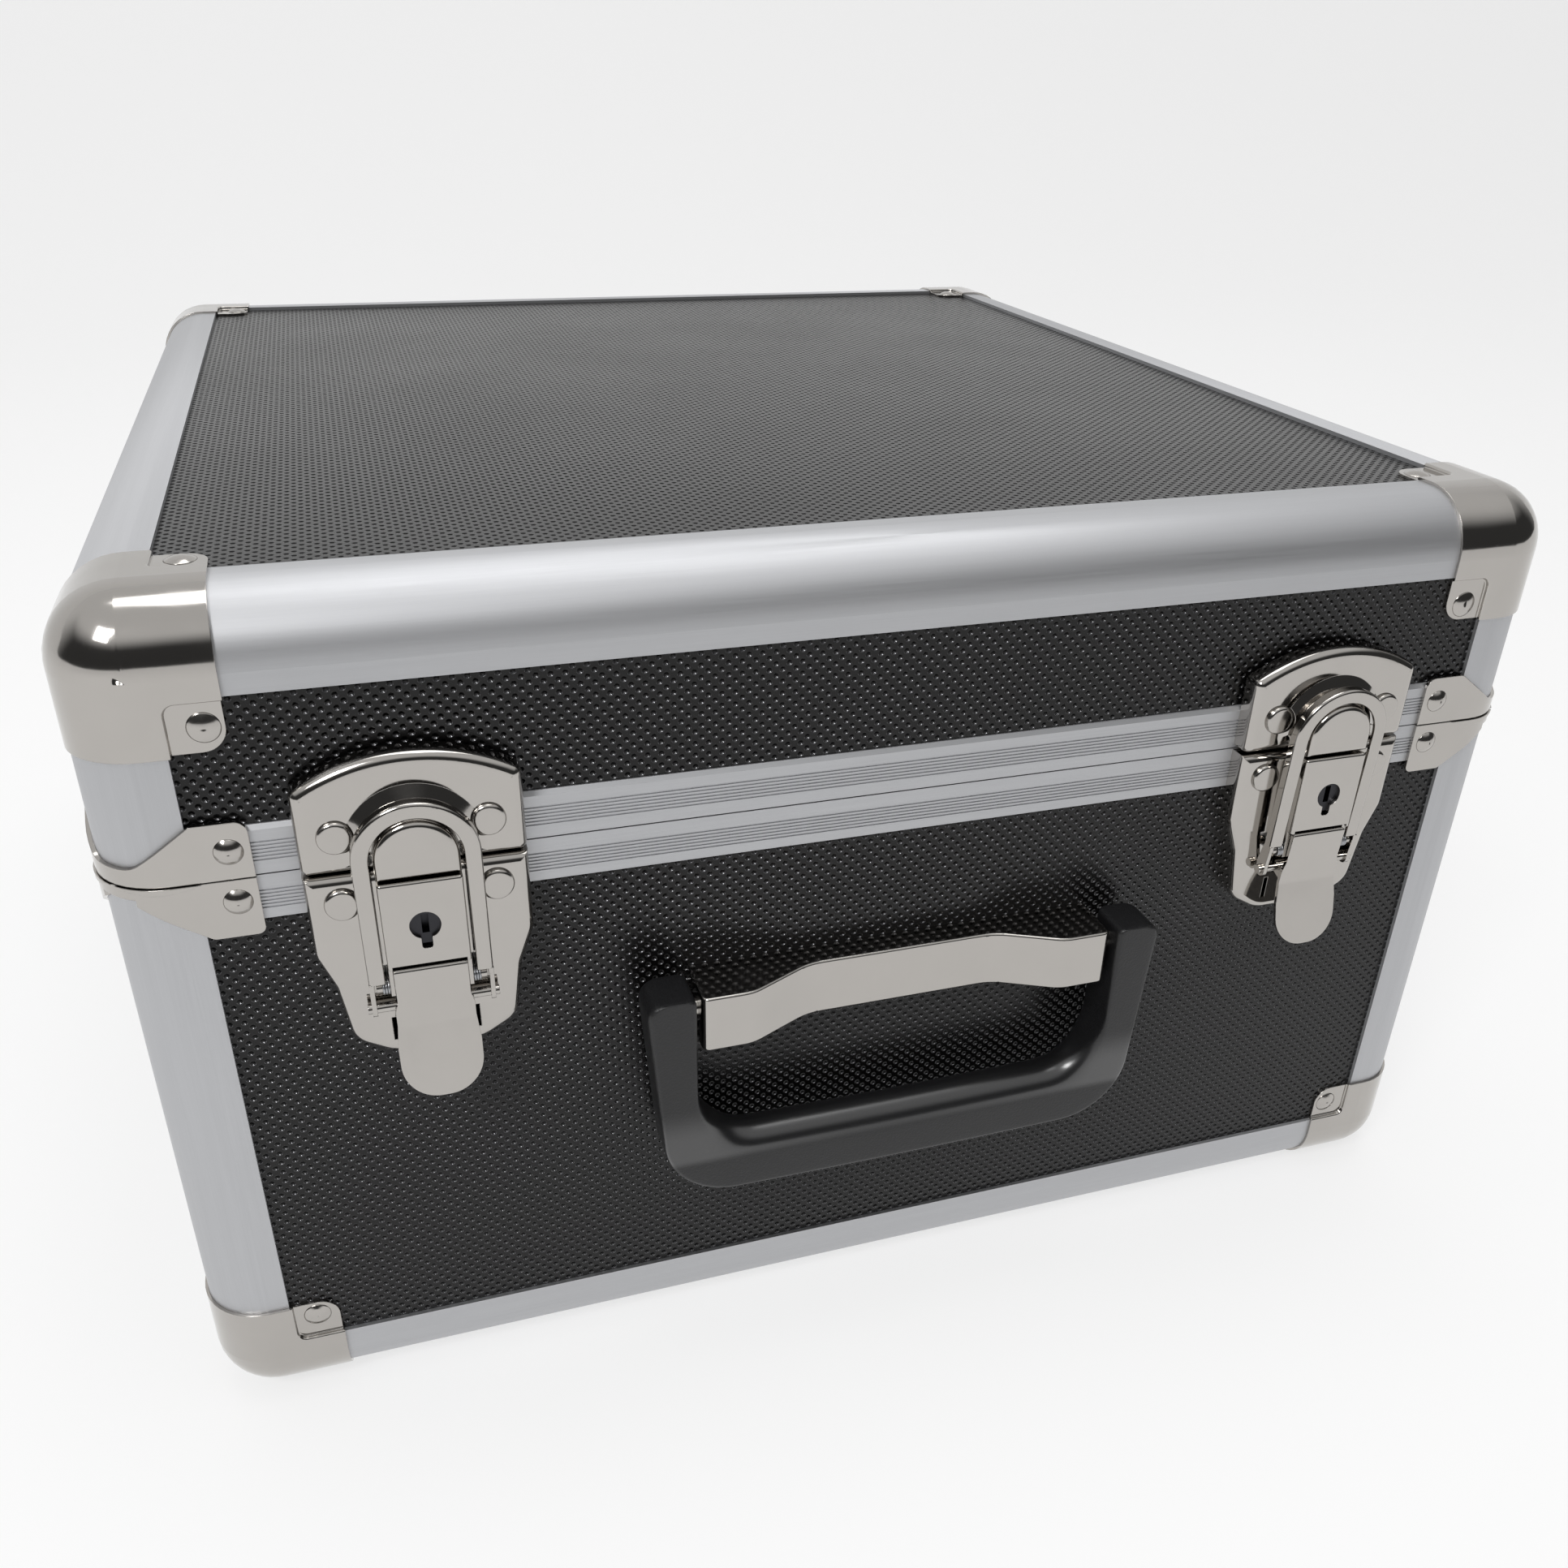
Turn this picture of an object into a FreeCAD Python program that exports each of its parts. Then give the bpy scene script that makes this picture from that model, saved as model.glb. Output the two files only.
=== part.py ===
"""Accordion case: a boxy road case with aluminium edge rails, chrome corner caps and two draw latches.

Millimetres, +Z up, front at -Y. The origin is the bottom centre of the whole object's box.
Across the outside of a rail, "in" is the distance inward from its outer face; on the front,
"out" is the distance in front of the rails' outer face. Heights start at the rails' underside,
which the bottom corner caps lift by their own sheet thickness.
"""
import FreeCAD
import Part
import Sketcher
import math
import os

Vec = FreeCAD.Vector
Turn = FreeCAD.Rotation
doc = FreeCAD.newDocument("accordion_case")

# Driving dimensions
SIZES = {
    # Case
    "case_width": 460.0,
    "case_depth": 478.0,
    "case_height": 281.0,
    "lid_height": 78.0,
    "parting_gap": 0.4,
    # Boards and skins
    "skin_thickness": 0.8,
    "board_thickness": 5.2,
    # Edge rails
    "rail_leg": 25.5,
    "rail_radius": 19.5,
    "rail_wall": 1.4,
    "rail_slot_start": 15.5,
    "rail_inner_wall": 1.2,
    "rail_inner_reach": 19.0,
    # Closing rails
    "closing_base_height": 13.8,
    "closing_lid_height": 14.8,
    "closing_slot_base": 6.8,
    "closing_slot_lid": 6.8,
    "closing_wall": 1.7,
    "closing_chamfer": 1.4,
    "closing_land": 0.85,
    "closing_end_clear": 0.3,
    "tongue_in": 2.0,
    "tongue_rise": 5.2,
    "tongue_clear": 0.5,
    "rib_pitch": 1.1,
    "rib_depth": 0.35,
    "rib_width": 0.6,
    "rib_base_first": 3.2,
    "rib_lid_first": 4.0,
    "rib_count_base": 6,
    "rib_count_lid": 6,
    # Corner caps
    "cap_sheet": 1.0,
    "cap_reach": 41.0,
    "cap_cover": 26.5,
    "cap_tab_end": 40.5,
    "cap_tab_radius": 6.5,
    "cap_dimple_radius": 3.0,
    "cap_crease_radius": 0.8,
    "cap_rivet_along": 35.3,
    "cap_rivet_across": 33.6,
    # Parting clamps
    "clamp_sheet": 1.2,
    "clamp_reach": 41.0,
    "clamp_lid_height": 17.0,
    "clamp_lid_low": 5.2,
    "clamp_lid_ease": 10.3,
    "clamp_lid_full": 26.7,
    "clamp_lid_corner": 3.5,
    "clamp_base_height": 17.8,
    "clamp_base_low": 3.7,
    "clamp_base_ease": 7.0,
    "clamp_base_full": 27.5,
    "clamp_base_corner": 2.2,
    "clamp_low_bend": 9.0,
    "clamp_full_bend": 2.5,
    "clamp_rivet_along": 35.3,
    "clamp_rivet_lid": 8.4,
    "clamp_rivet_base": 6.8,
    "bead_start": 5.0,
    "bead_end": 27.0,
    "bead_height": 1.9,
    "bead_proud": 0.5,
    # Rivets
    "cap_head_radius": 4.3,
    "cap_head_height": 1.3,
    "clamp_head_radius": 3.9,
    "clamp_head_height": 1.7,
    "latch_head_radius": 4.9,
    "latch_head_height": 1.5,
    "latch_head_bevel": 1.2,
    "rivet_shank_radius": 1.8,
    "rivet_seat_clear": 0.2,
    # Latches
    "latch_inset": 83.0,
    "plate_out": 7.0,
    "plate_sheet": 1.2,
    "plate_edge_radius": 3.0,
    "plate_corner_radius": 2.0,
    "plate_half_width": 30.5,
    "strike_side_height": 25.5,
    "strike_tip_height": 43.8,
    "strike_corner_radius": 3.0,
    "strike_rivet_across": 20.3,
    "strike_rivet_height": 12.1,
    "boss_radius": 20.5,
    "boss_top_radius": 14.0,
    "boss_out": 9.8,
    "nose_radius": 11.5,
    "nose_centre": 6.2,
    "nose_out": 14.5,
    "nose_edge_radius": 2.0,
    "shoulder_top": 26.0,
    "shoulder_bottom": 37.0,
    "waist_half_width": 26.4,
    "foot_half_width": 23.7,
    "foot_top": 56.0,
    "plate_drop": 62.3,
    "plate_rivet_across": 21.0,
    "plate_rivet_drop": 8.8,
    "window_half_width": 10.7,
    "window_top": 24.8,
    "window_bottom": 47.5,
    "plate_slot_across": 11.7,
    "plate_slot_width": 1.6,
    "plate_slot_top": 49.0,
    "plate_slot_bottom": 57.0,
    # Lock housings
    "housing_half_width": 11.5,
    "housing_out": 14.5,
    "housing_wall": 1.2,
    "housing_bottom": 27.0,
    "housing_ear_bottom": 37.9,
    "housing_ear_out": 12.45,
    "keyhole_drop": 14.6,
    "keyhole_radius": 4.3,
    "keyhole_slot_width": 3.0,
    "keyhole_slot_drop": 7.5,
    "lock_body_half_width": 7.0,
    "lock_body_half_height": 6.4,
    "plug_radius": 4.1,
    "plug_face_out": 13.4,
    "plug_clear": 0.05,
    "keyway_width": 2.0,
    "keyway_height": 6.0,
    "keyway_depth": 3.0,
    # Levers
    "fulcrum_out": 10.6,
    "fulcrum_drop": 35.5,
    "pin_radius": 1.5,
    "pin_clear": 0.05,
    "fulcrum_pin_half": 15.4,
    "bail_pivot_out": 9.5,
    "bail_pivot_drop": 43.1,
    "bail_pin_half": 18.5,
    "lever_sheet": 1.3,
    "lever_wall": 1.2,
    "lever_wall_half": 10.1,
    "lever_top_half": 9.9,
    "lever_half": 11.1,
    "lever_tab_half": 11.8,
    "lever_top_drop": 28.5,
    "lever_flare_top": 39.9,
    "lever_flare_bottom": 43.5,
    "lever_crease_drop": 48.0,
    "lever_crease_out": 13.2,
    "lever_top_out": 14.5,
    "lever_tip_drop": 70.7,
    "lever_tip_out": 19.0,
    "lever_tip_half": 11.5,
    "lever_tip_radius": 10.6,
    "lever_edge_radius": 1.1,
    "lever_bend_radius": 4.0,
    "lever_tab_drop": 55.0,
    "lever_ear_radius": 2.5,
    "spring_radius": 2.25,
    "spring_wire": 0.7,
    # Bails
    "bail_half": 17.3,
    "bail_inner_half": 12.7,
    "bail_sheet": 1.3,
    "bail_rim_depth": 3.5,
    "bail_front": 3.0,
    "bail_arch": 49.2,
    "bail_flange_start": 10.0,
    "bail_ear_radius": 2.4,
    "bail_tilt": 1.9,
    "bail_outer_round": 1.1,
    "bail_inner_round": 0.5,
    # Handle
    "cover_half": 69.5,
    "cover_top_drop": 53.3,
    "cover_bottom_drop": 73.0,
    "cover_end_out": 18.0,
    "cover_middle_out": 8.0,
    "cover_sheet": 1.2,
    "cover_end_flat": 53.0,
    "cover_middle_flat": 32.0,
    "grip_half": 83.0,
    "grip_top_half": 87.0,
    "grip_inner_half": 71.5,
    "grip_inner_top_half": 72.0,
    "grip_top_drop": 52.0,
    "grip_bottom_drop": 130.5,
    "grip_inner_drop": 111.0,
    "grip_outer_radius": 24.0,
    "grip_inner_radius": 20.0,
    "grip_hub_radius": 5.5,
    "grip_back": 4.0,
    "grip_front": 20.0,
    "grip_edge_radius": 4.0,
    "handle_pivot_out": 10.5,
    "handle_pivot_drop": 60.5,
    "handle_pin_radius": 3.0,
    "handle_pin_start": 61.0,
    "handle_pin_end": 83.0,
    "backing_half": 76.0,
    "backing_top_drop": 47.0,
    "backing_bottom_drop": 79.0,
    # Rear hinges
    "hinge_inset": 90.0,
    "hinge_axis_out": 4.0,
    "hinge_half": 28.0,
    "hinge_leaf": 1.5,
    "hinge_base_height": 13.0,
    "hinge_lid_height": 14.0,
    "hinge_notch": 4.0,
    "hinge_knuckle_radius": 3.3,
    "hinge_pin_radius": 1.5,
    "hinge_gap": 0.3,
    "hinge_gusset": 3.0,
    "hinge_gusset_in": 1.0,
    "hinge_stop_reach": 7.0,
    "hinge_stop_start": 4.4,
    "hinge_stop_angle": 95.0,
    # Lining
    "lining": 4.0,
    "pad_thickness": 5.0,
    "lid_lining_clear": 1.0,
}


class Length:
    """A number together with the sheet expression that gives it."""

    def __init__(self, value, text):
        self.value = float(value)
        self.text = text

    def __add__(self, other):
        other = length(other)
        return Length(self.value + other.value, f"({self.text} + {other.text})")

    def __sub__(self, other):
        other = length(other)
        return Length(self.value - other.value, f"({self.text} - {other.text})")

    def __mul__(self, other):
        other = length(other)
        return Length(self.value * other.value, f"({self.text} * {other.text})")

    def __truediv__(self, other):
        other = length(other)
        return Length(self.value / other.value, f"({self.text} / {other.text})")

    def __neg__(self):
        return Length(-self.value, f"(0 - {self.text})")

    def __radd__(self, other):
        return length(other) + self

    def __rsub__(self, other):
        return length(other) - self

    def __rmul__(self, other):
        return length(other) * self


def length(number):
    """A plain number as a Length; a Length stays as it is."""
    if isinstance(number, Length):
        return number
    return Length(number, repr(float(number)))


class Sheet:
    """The spreadsheet of driving dimensions; reading a name gives its Length."""

    def __init__(self, sizes):
        self.page = doc.addObject("Spreadsheet::Sheet", "Size")
        self.sizes = sizes
        for row, (name, value) in enumerate(sizes.items(), start=1):
            self.page.set(f"A{row}", name)
            self.page.set(f"B{row}", str(value))
            self.page.setAlias(f"B{row}", name)

    def __getattr__(self, name):
        return Length(self.sizes[name], f"Size.{name}")


size = Sheet(SIZES)
doc.recompute()


# Binding of properties, places and sketches to the sheet
def bind(item, property_name, amount):
    """Bind one property of a document object to a length."""
    amount = length(amount)
    item.setExpression(property_name, amount.text)


def place(item, x=0.0, y=0.0, z=0.0, turn=None):
    """Put an object at a place bound to the sheet, turned by a fixed rotation."""
    item.Placement = FreeCAD.Placement(Vec(0, 0, 0), turn or Turn())
    for axis, amount in (("x", x), ("y", y), ("z", z)):
        bind(item, f"Placement.Base.{axis}", amount)


def vector(x, y, z):
    """A plain vector from lengths, for shapes made with Part's own functions."""
    return Vec(length(x).value, length(y).value, length(z).value)


def new_body(label):
    body = doc.addObject("PartDesign::Body", label)
    body.Label = label
    return body


def new_sketch(body, plane, offset=0.0):
    """A sketch on one of the body's own origin planes, moved along its normal."""
    sketch = body.newObject("Sketcher::SketchObject", body.Label + "_sketch")
    origin_plane = next(item for item in body.Origin.OriginFeatures if item.Role == plane)
    sketch.AttachmentSupport = [(origin_plane, "")]
    sketch.MapMode = "FlatFace"
    bind(sketch, "AttachmentOffset.Base.z", offset)
    return sketch


def hold(sketch, geometry, point, across, up):
    """Hold one point of a sketch at distances from its origin, bound to the sheet."""
    for kind, amount in (("DistanceX", across), ("DistanceY", up)):
        amount = length(amount)
        index = sketch.addConstraint(Sketcher.Constraint(kind, -1, 1, geometry, point, amount.value))
        sketch.setExpression(f"Constraints[{index}]", amount.text)


def hold_radius(sketch, geometry, radius):
    radius = length(radius)
    index = sketch.addConstraint(Sketcher.Constraint("Radius", geometry, radius.value))
    sketch.setExpression(f"Constraints[{index}]", radius.text)


def circle(sketch, across, up, radius):
    """Draw one circle."""
    centre = vector(across, up, 0)
    drawn = sketch.addGeometry(Part.Circle(centre, Vec(0, 0, 1), length(radius).value), False)
    hold(sketch, drawn, 3, across, up)
    hold_radius(sketch, drawn, radius)


def arc_at(corner, before, after, radius):
    """The round of a corner: its two ends, centre and sense."""
    way_in = (corner - before).normalize()
    way_out = (after - corner).normalize()
    sense = way_in.x * way_out.y - way_in.y * way_out.x
    turned = way_in.getAngle(way_out)
    run = radius * math.tan(turned / 2)
    start = corner - way_in * run
    end = corner + way_out * run
    side = Vec(-way_in.y, way_in.x, 0) * math.copysign(radius, sense)
    return start, end, start + side, sense > 0


def outline(sketch, corners):
    """Draw a closed outline. Each corner is (across, up), or (across, up, radius) where it is round."""
    points = [vector(corner[0], corner[1], 0) for corner in corners]
    count = len(corners)
    starts, ends, arcs = [], [], []
    for index, corner in enumerate(corners):
        if len(corner) == 3:
            start, end, centre, left = arc_at(
                points[index], points[index - 1], points[(index + 1) % count], length(corner[2]).value)
            arcs.append((centre, left))
        else:
            start = end = points[index]
            arcs.append(None)
        starts.append(start)
        ends.append(end)
    lines = [sketch.addGeometry(Part.LineSegment(ends[index], starts[(index + 1) % count]), False)
             for index in range(count)]
    for index, corner in enumerate(corners):
        line_in, line_out = lines[index - 1], lines[index]
        if arcs[index] is None:
            sketch.addConstraint(Sketcher.Constraint("Coincident", line_in, 2, line_out, 1))
            hold(sketch, line_out, 1, corner[0], corner[1])
            continue
        centre, left = arcs[index]
        radius = length(corner[2]).value
        first, last = (starts[index], ends[index]) if left else (ends[index], starts[index])
        angle_first = math.atan2(first.y - centre.y, first.x - centre.x)
        angle_last = math.atan2(last.y - centre.y, last.x - centre.x)
        round_circle = Part.Circle(centre, Vec(0, 0, 1), radius)
        arc = sketch.addGeometry(Part.ArcOfCircle(round_circle, angle_first, angle_last), False)
        joint_in, joint_out = (1, 2) if left else (2, 1)
        sketch.addConstraint(Sketcher.Constraint("Tangent", line_in, 2, arc, joint_in))
        sketch.addConstraint(Sketcher.Constraint("Tangent", arc, joint_out, line_out, 1))
        tip = sketch.addGeometry(Part.Point(points[index]), True)
        sketch.addConstraint(Sketcher.Constraint("PointOnObject", tip, 1, line_in))
        sketch.addConstraint(Sketcher.Constraint("PointOnObject", tip, 1, line_out))
        hold(sketch, tip, 1, corner[0], corner[1])
        hold_radius(sketch, arc, corner[2])


def arch(sketch, bottom, centre, half, inner_half=None):
    """Draw an arch: straight sides from bottom up to centre, and a half round above them.

    With inner_half it is a band of that inner half width, open at the bottom.
    """
    bottom, centre, half = length(bottom), length(centre), length(half)

    def side(sign, half_width, upward):
        low = vector(half_width * sign, bottom, 0)
        high = vector(half_width * sign, centre, 0)
        ends = (low, high) if upward else (high, low)
        return sketch.addGeometry(Part.LineSegment(*ends), False)

    def round_top(half_width):
        top = Part.Circle(vector(0, centre, 0), Vec(0, 0, 1), half_width.value)
        return sketch.addGeometry(Part.ArcOfCircle(top, 0, math.pi), False)

    def one_arch(half_width):
        right = side(1, half_width, True)
        top = round_top(half_width)
        left = side(-1, half_width, False)
        sketch.addConstraint(Sketcher.Constraint("Tangent", right, 2, top, 1))
        sketch.addConstraint(Sketcher.Constraint("Tangent", top, 2, left, 1))
        hold(sketch, top, 3, 0.0, centre)
        hold(sketch, right, 1, half_width, bottom)
        index = sketch.addConstraint(Sketcher.Constraint("DistanceY", -1, 1, left, 2, bottom.value))
        sketch.setExpression(f"Constraints[{index}]", bottom.text)
        sketch.addConstraint(Sketcher.Constraint("Vertical", left))
        return right, left

    def close(first, first_end, second, second_end):
        start = sketch.getPoint(first, first_end)
        end = sketch.getPoint(second, second_end)
        line = sketch.addGeometry(Part.LineSegment(start, end), False)
        sketch.addConstraint(Sketcher.Constraint("Coincident", first, first_end, line, 1))
        sketch.addConstraint(Sketcher.Constraint("Coincident", line, 2, second, second_end))

    outer_right, outer_left = one_arch(half)
    if inner_half is None:
        close(outer_left, 2, outer_right, 1)
        return
    inner_right, inner_left = one_arch(length(inner_half))
    close(outer_left, 2, inner_left, 2)
    close(inner_right, 1, outer_right, 1)


def pad(body, sketch, amount, midplane=False):
    """Raise a sketch along its plane's normal by a length, or half each way."""
    feature = body.newObject("PartDesign::Pad", body.Label + "_pad")
    feature.Profile = sketch
    bind(feature, "Length", amount)
    feature.Midplane = midplane
    body.Tip = feature
    return feature


def pocket(body, sketch, amount, midplane=False):
    """Cut a sketch along its plane's normal by a length, or half each way."""
    feature = body.newObject("PartDesign::Pocket", body.Label + "_pocket")
    feature.Profile = sketch
    bind(feature, "Length", amount)
    feature.Midplane = midplane
    feature.Reversed = True
    body.Tip = feature
    return feature


def soften(body, radius, wanted, kind="PartDesign::Fillet"):
    """Round the edges of the body's tip that the test wanted(edge) picks."""
    doc.recompute()
    base = body.Tip
    names = [f"Edge{number}" for number, edge in enumerate(base.Shape.Edges, start=1) if wanted(edge)]
    feature = body.newObject(kind, body.Label + "_edges")
    feature.Base = (base, names)
    bind(feature, "Radius" if kind.endswith("Fillet") else "Size", radius)
    body.Tip = feature
    return feature


def group(label, items):
    """Several solids as one node."""
    compound = doc.addObject("Part::Compound", label)
    compound.Label = label
    compound.Links = items
    return compound


def box(label, corner, extent):
    """A box from its lowest corner and its extent, all bound to the sheet."""
    item = doc.addObject("Part::Box", label)
    item.Label = label
    for property_name, amount in zip(("Length", "Width", "Height"), extent):
        bind(item, property_name, amount)
    place(item, *corner)
    return item


def feature(label, shape, placement=None):
    """A shape made with Part's own functions from the sheet's sizes."""
    item = doc.addObject("Part::Feature", label)
    item.Label = label
    item.Shape = shape
    item.Placement = placement or FreeCAD.Placement()
    return item


# Places that many pieces share
front_reach = size.grip_front
rear_reach = size.hinge_axis_out + size.hinge_stop_reach
mid_y = (front_reach - rear_reach) / 2
front_y = mid_y - size.case_depth / 2
rear_y = mid_y + size.case_depth / 2
left_x = -(size.case_width / 2)
right_x = size.case_width / 2
floor_z = size.cap_sheet
roof_z = floor_z + size.case_height
parting_height = size.case_height - size.lid_height
parting_z = floor_z + parting_height
base_top = parting_height - size.parting_gap / 2
lid_bottom = parting_height + size.parting_gap / 2
latch_offset = size.case_width / 2 - size.latch_inset
hinge_offset = size.case_width / 2 - size.hinge_inset
slot_in = size.rail_wall
slot_out = size.rail_wall + size.skin_thickness + size.board_thickness
inner_in = slot_out + size.rail_inner_wall
board_start = size.rail_slot_start
tongue_top = base_top + size.tongue_rise
lid_inner_bottom = tongue_top + size.tongue_clear
base_board_top = base_top - size.closing_slot_base
lid_board_bottom = lid_bottom + size.closing_slot_lid
lid_board_top = size.case_height - board_start

# The four sides, as the turn about Z that carries the front there, and where its rail face lies
ROUND = {"front": 0, "right": 90, "rear": 180, "left": 270}


def side_place(item, side, z, first_turn=None):
    """Place a piece, made for the front with +Y inward, on one side of the case."""
    turn = Turn(Vec(0, 0, 1), ROUND[side])
    if first_turn is not None:
        turn = turn.multiply(first_turn)
    x = {"front": 0.0, "rear": 0.0, "left": left_x, "right": right_x}[side]
    y = {"front": front_y, "rear": rear_y, "left": mid_y, "right": mid_y}[side]
    place(item, x, y, z, turn)


def side_length(side):
    return size.case_width if side in ("front", "rear") else size.case_depth


# Edge rails, corner posts and closing rails
def rail_section(sketch):
    """The L of an edge rail: outer legs, two board slots and two short inner legs."""
    leg, wall, start, reach = size.rail_leg, size.rail_wall, size.rail_slot_start, size.rail_inner_reach
    outline(sketch, [
        (0.0, 0.0, size.rail_radius), (leg, 0.0), (leg, wall), (start, wall), (start, slot_out),
        (reach, slot_out), (reach, inner_in), (inner_in, inner_in), (inner_in, reach),
        (slot_out, reach), (slot_out, start), (wall, start), (wall, leg), (0.0, leg)])


TIP_OVER = Turn(Vec(1, 0, 0), -90)


def edge_rail(label, side, top):
    """A rail along the bottom or top edge of one side, between the corner caps' hollows."""
    body = new_body(label)
    sketch = new_sketch(body, "YZ_Plane")
    rail_section(sketch)
    pad(body, sketch, side_length(side) - size.rail_leg * 2, midplane=True)
    side_place(body, side, roof_z if top else floor_z, TIP_OVER if top else None)
    return body


def corner_post(label, corner, low, high):
    """A post on one of the four corners, from height low to height high."""
    body = new_body(label)
    sketch = new_sketch(body, "XY_Plane")
    rail_section(sketch)
    pad(body, sketch, high - low)
    x, y, angle = corner
    place(body, x, y, floor_z + low, Turn(Vec(0, 0, 1), angle))
    return body


CORNERS = {
    "front_left": (left_x, front_y, 0),
    "front_right": (right_x, front_y, 90),
    "rear_right": (right_x, rear_y, 180),
    "rear_left": (left_x, rear_y, 270),
}


def ribs(body, first, count, run, bottom):
    """Fine grooves along the outer face that leave ribs standing between them."""
    sketch = new_sketch(body, "YZ_Plane")
    for number in range(count):
        low = bottom + first + size.rib_pitch * number
        high = low + size.rib_width
        outline(sketch, [(-size.rib_depth, low), (size.rib_depth, low),
                         (size.rib_depth, high), (-size.rib_depth, high)])
    pocket(body, sketch, run, midplane=True)


def corner_reach(body, side, low, high, slot_high, near):
    """Carry the inner part of a closing rail on between the posts, and a tongue of it into their slots."""
    clear = size.closing_end_clear
    for far, top, stop in ((inner_in, high, size.rail_inner_reach), (slot_out - clear, slot_high, board_start)):
        sketch = new_sketch(body, "YZ_Plane")
        outline(sketch, [(near, low), (far, low), (far, top), (near, top)])
        pad(body, sketch, side_length(side) - (stop + clear) * 2, midplane=True)


def base_closing_rail(label, side):
    """Closing rail of the base: a ribbed face, a slot for the board and a tongue for the lid."""
    body = new_body(label)
    low = base_top - size.closing_base_height
    run = side_length(side) - size.rail_leg * 2
    sketch = new_sketch(body, "YZ_Plane")
    outline(sketch, [
        (0.0, low), (size.rail_wall, low), (size.rail_wall, base_board_top), (slot_out, base_board_top),
        (slot_out, low), (inner_in, low), (inner_in, tongue_top), (size.tongue_in, tongue_top),
        (size.tongue_in, base_top), (0.0, base_top)])
    pad(body, sketch, run, midplane=True)
    corner_reach(body, side, base_board_top, tongue_top, base_top, size.tongue_in)
    ribs(body, size.rib_base_first, int(SIZES["rib_count_base"]), run, low)
    side_place(body, side, floor_z)
    return body


def lid_closing_rail(label, side):
    """Closing rail of the lid: its outer wall shuts over the base's tongue."""
    body = new_body(label)
    high = lid_bottom + size.closing_lid_height
    chamfer = size.closing_chamfer
    run = side_length(side) - size.rail_leg * 2
    sketch = new_sketch(body, "YZ_Plane")
    outline(sketch, [
        (0.0, lid_bottom), (size.closing_wall, lid_bottom), (size.closing_wall, lid_inner_bottom),
        (inner_in, lid_inner_bottom), (inner_in, high), (slot_out, high), (slot_out, lid_board_bottom),
        (size.rail_wall, lid_board_bottom), (size.rail_wall, high), (size.closing_land, high),
        (0.0, high - chamfer)])
    pad(body, sketch, run, midplane=True)
    corner_reach(body, side, lid_inner_bottom, lid_board_bottom, lid_board_bottom, size.tongue_in)
    ribs(body, size.rib_lid_first, int(SIZES["rib_count_lid"]), run, lid_bottom)
    side_place(body, side, floor_z)
    return body


def make_frame():
    """The aluminium frame of both halves."""
    nodes = [edge_rail("base_front_bottom_rail", "front", False),
             edge_rail("base_rear_bottom_rail", "rear", False),
             edge_rail("lid_front_top_rail", "front", True),
             edge_rail("lid_rear_top_rail", "rear", True)]
    for half, top in (("base_side_bottom_rails", False), ("lid_side_top_rails", True)):
        nodes.append(group(half, [edge_rail(f"{half}_{side}", side, top) for side in ("left", "right")]))
    spans = {"base": (size.rail_leg, base_top), "lid": (lid_bottom, size.case_height - size.rail_leg)}
    for half, (low, high) in spans.items():
        posts = [corner_post(f"{half}_post_{name}", corner, low, high)
                 for name, corner in CORNERS.items()]
        nodes.append(group(f"{half}_corner_posts", posts))
    for half, maker in (("base", base_closing_rail), ("lid", lid_closing_rail)):
        nodes += [maker(f"{half}_{side}_closing_rail", side) for side in ("front", "rear")]
        pair = [maker(f"{half}_closing_rail_{side}", side) for side in ("left", "right")]
        nodes.append(group(f"{half}_side_closing_rails", pair))
    return nodes


# Boards, skins and lining
def wall_slab(label, side, near, far, end_gap, low, high):
    """An upright slab on one side, between two depths in from the rail face."""
    x_low, x_high = left_x + end_gap, right_x - end_gap
    y_low, y_high = front_y + end_gap, rear_y - end_gap
    if side == "front":
        y_low, y_high = front_y + near, front_y + far
    elif side == "rear":
        y_low, y_high = rear_y - far, rear_y - near
    elif side == "left":
        x_low, x_high = left_x + near, left_x + far
    else:
        x_low, x_high = right_x - far, right_x - near
    corner = (x_low, y_low, floor_z + low)
    return box(label, corner, (x_high - x_low, y_high - y_low, high - low))


def flat_slab(label, low, high, end_gap):
    """A level slab with the same gap to the rail faces all round."""
    corner = (left_x + end_gap, front_y + end_gap, floor_z + low)
    extent = (size.case_width - end_gap * 2, size.case_depth - end_gap * 2, high - low)
    return box(label, corner, extent)


def make_boards():
    """Plywood boards in the rails' slots, with an embossed skin on the outside of each."""
    nodes = []
    skin_in = slot_in + size.skin_thickness
    spans = {"base": (board_start, base_board_top), "lid": (lid_board_bottom, lid_board_top)}
    for half, (low, high) in spans.items():
        skins = []
        for side in ROUND:
            nodes.append(wall_slab(f"{half}_{side}_board", side, skin_in, slot_out, board_start, low, high))
            skins.append(wall_slab(f"{half}_{side}_skin", side, slot_in, skin_in, board_start, low, high))
        if half == "base":
            nodes.append(flat_slab("base_bottom_board", skin_in, slot_out, board_start))
            skins.append(flat_slab("base_bottom_skin", slot_in, skin_in, board_start))
        else:
            high_in = size.case_height
            nodes.append(flat_slab("lid_top_board", high_in - slot_out, high_in - skin_in, board_start))
            skins.append(flat_slab("lid_top_skin", high_in - skin_in, high_in - slot_in, board_start))
        nodes.append(group(f"{half}_skins", skins))
    return nodes


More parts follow.
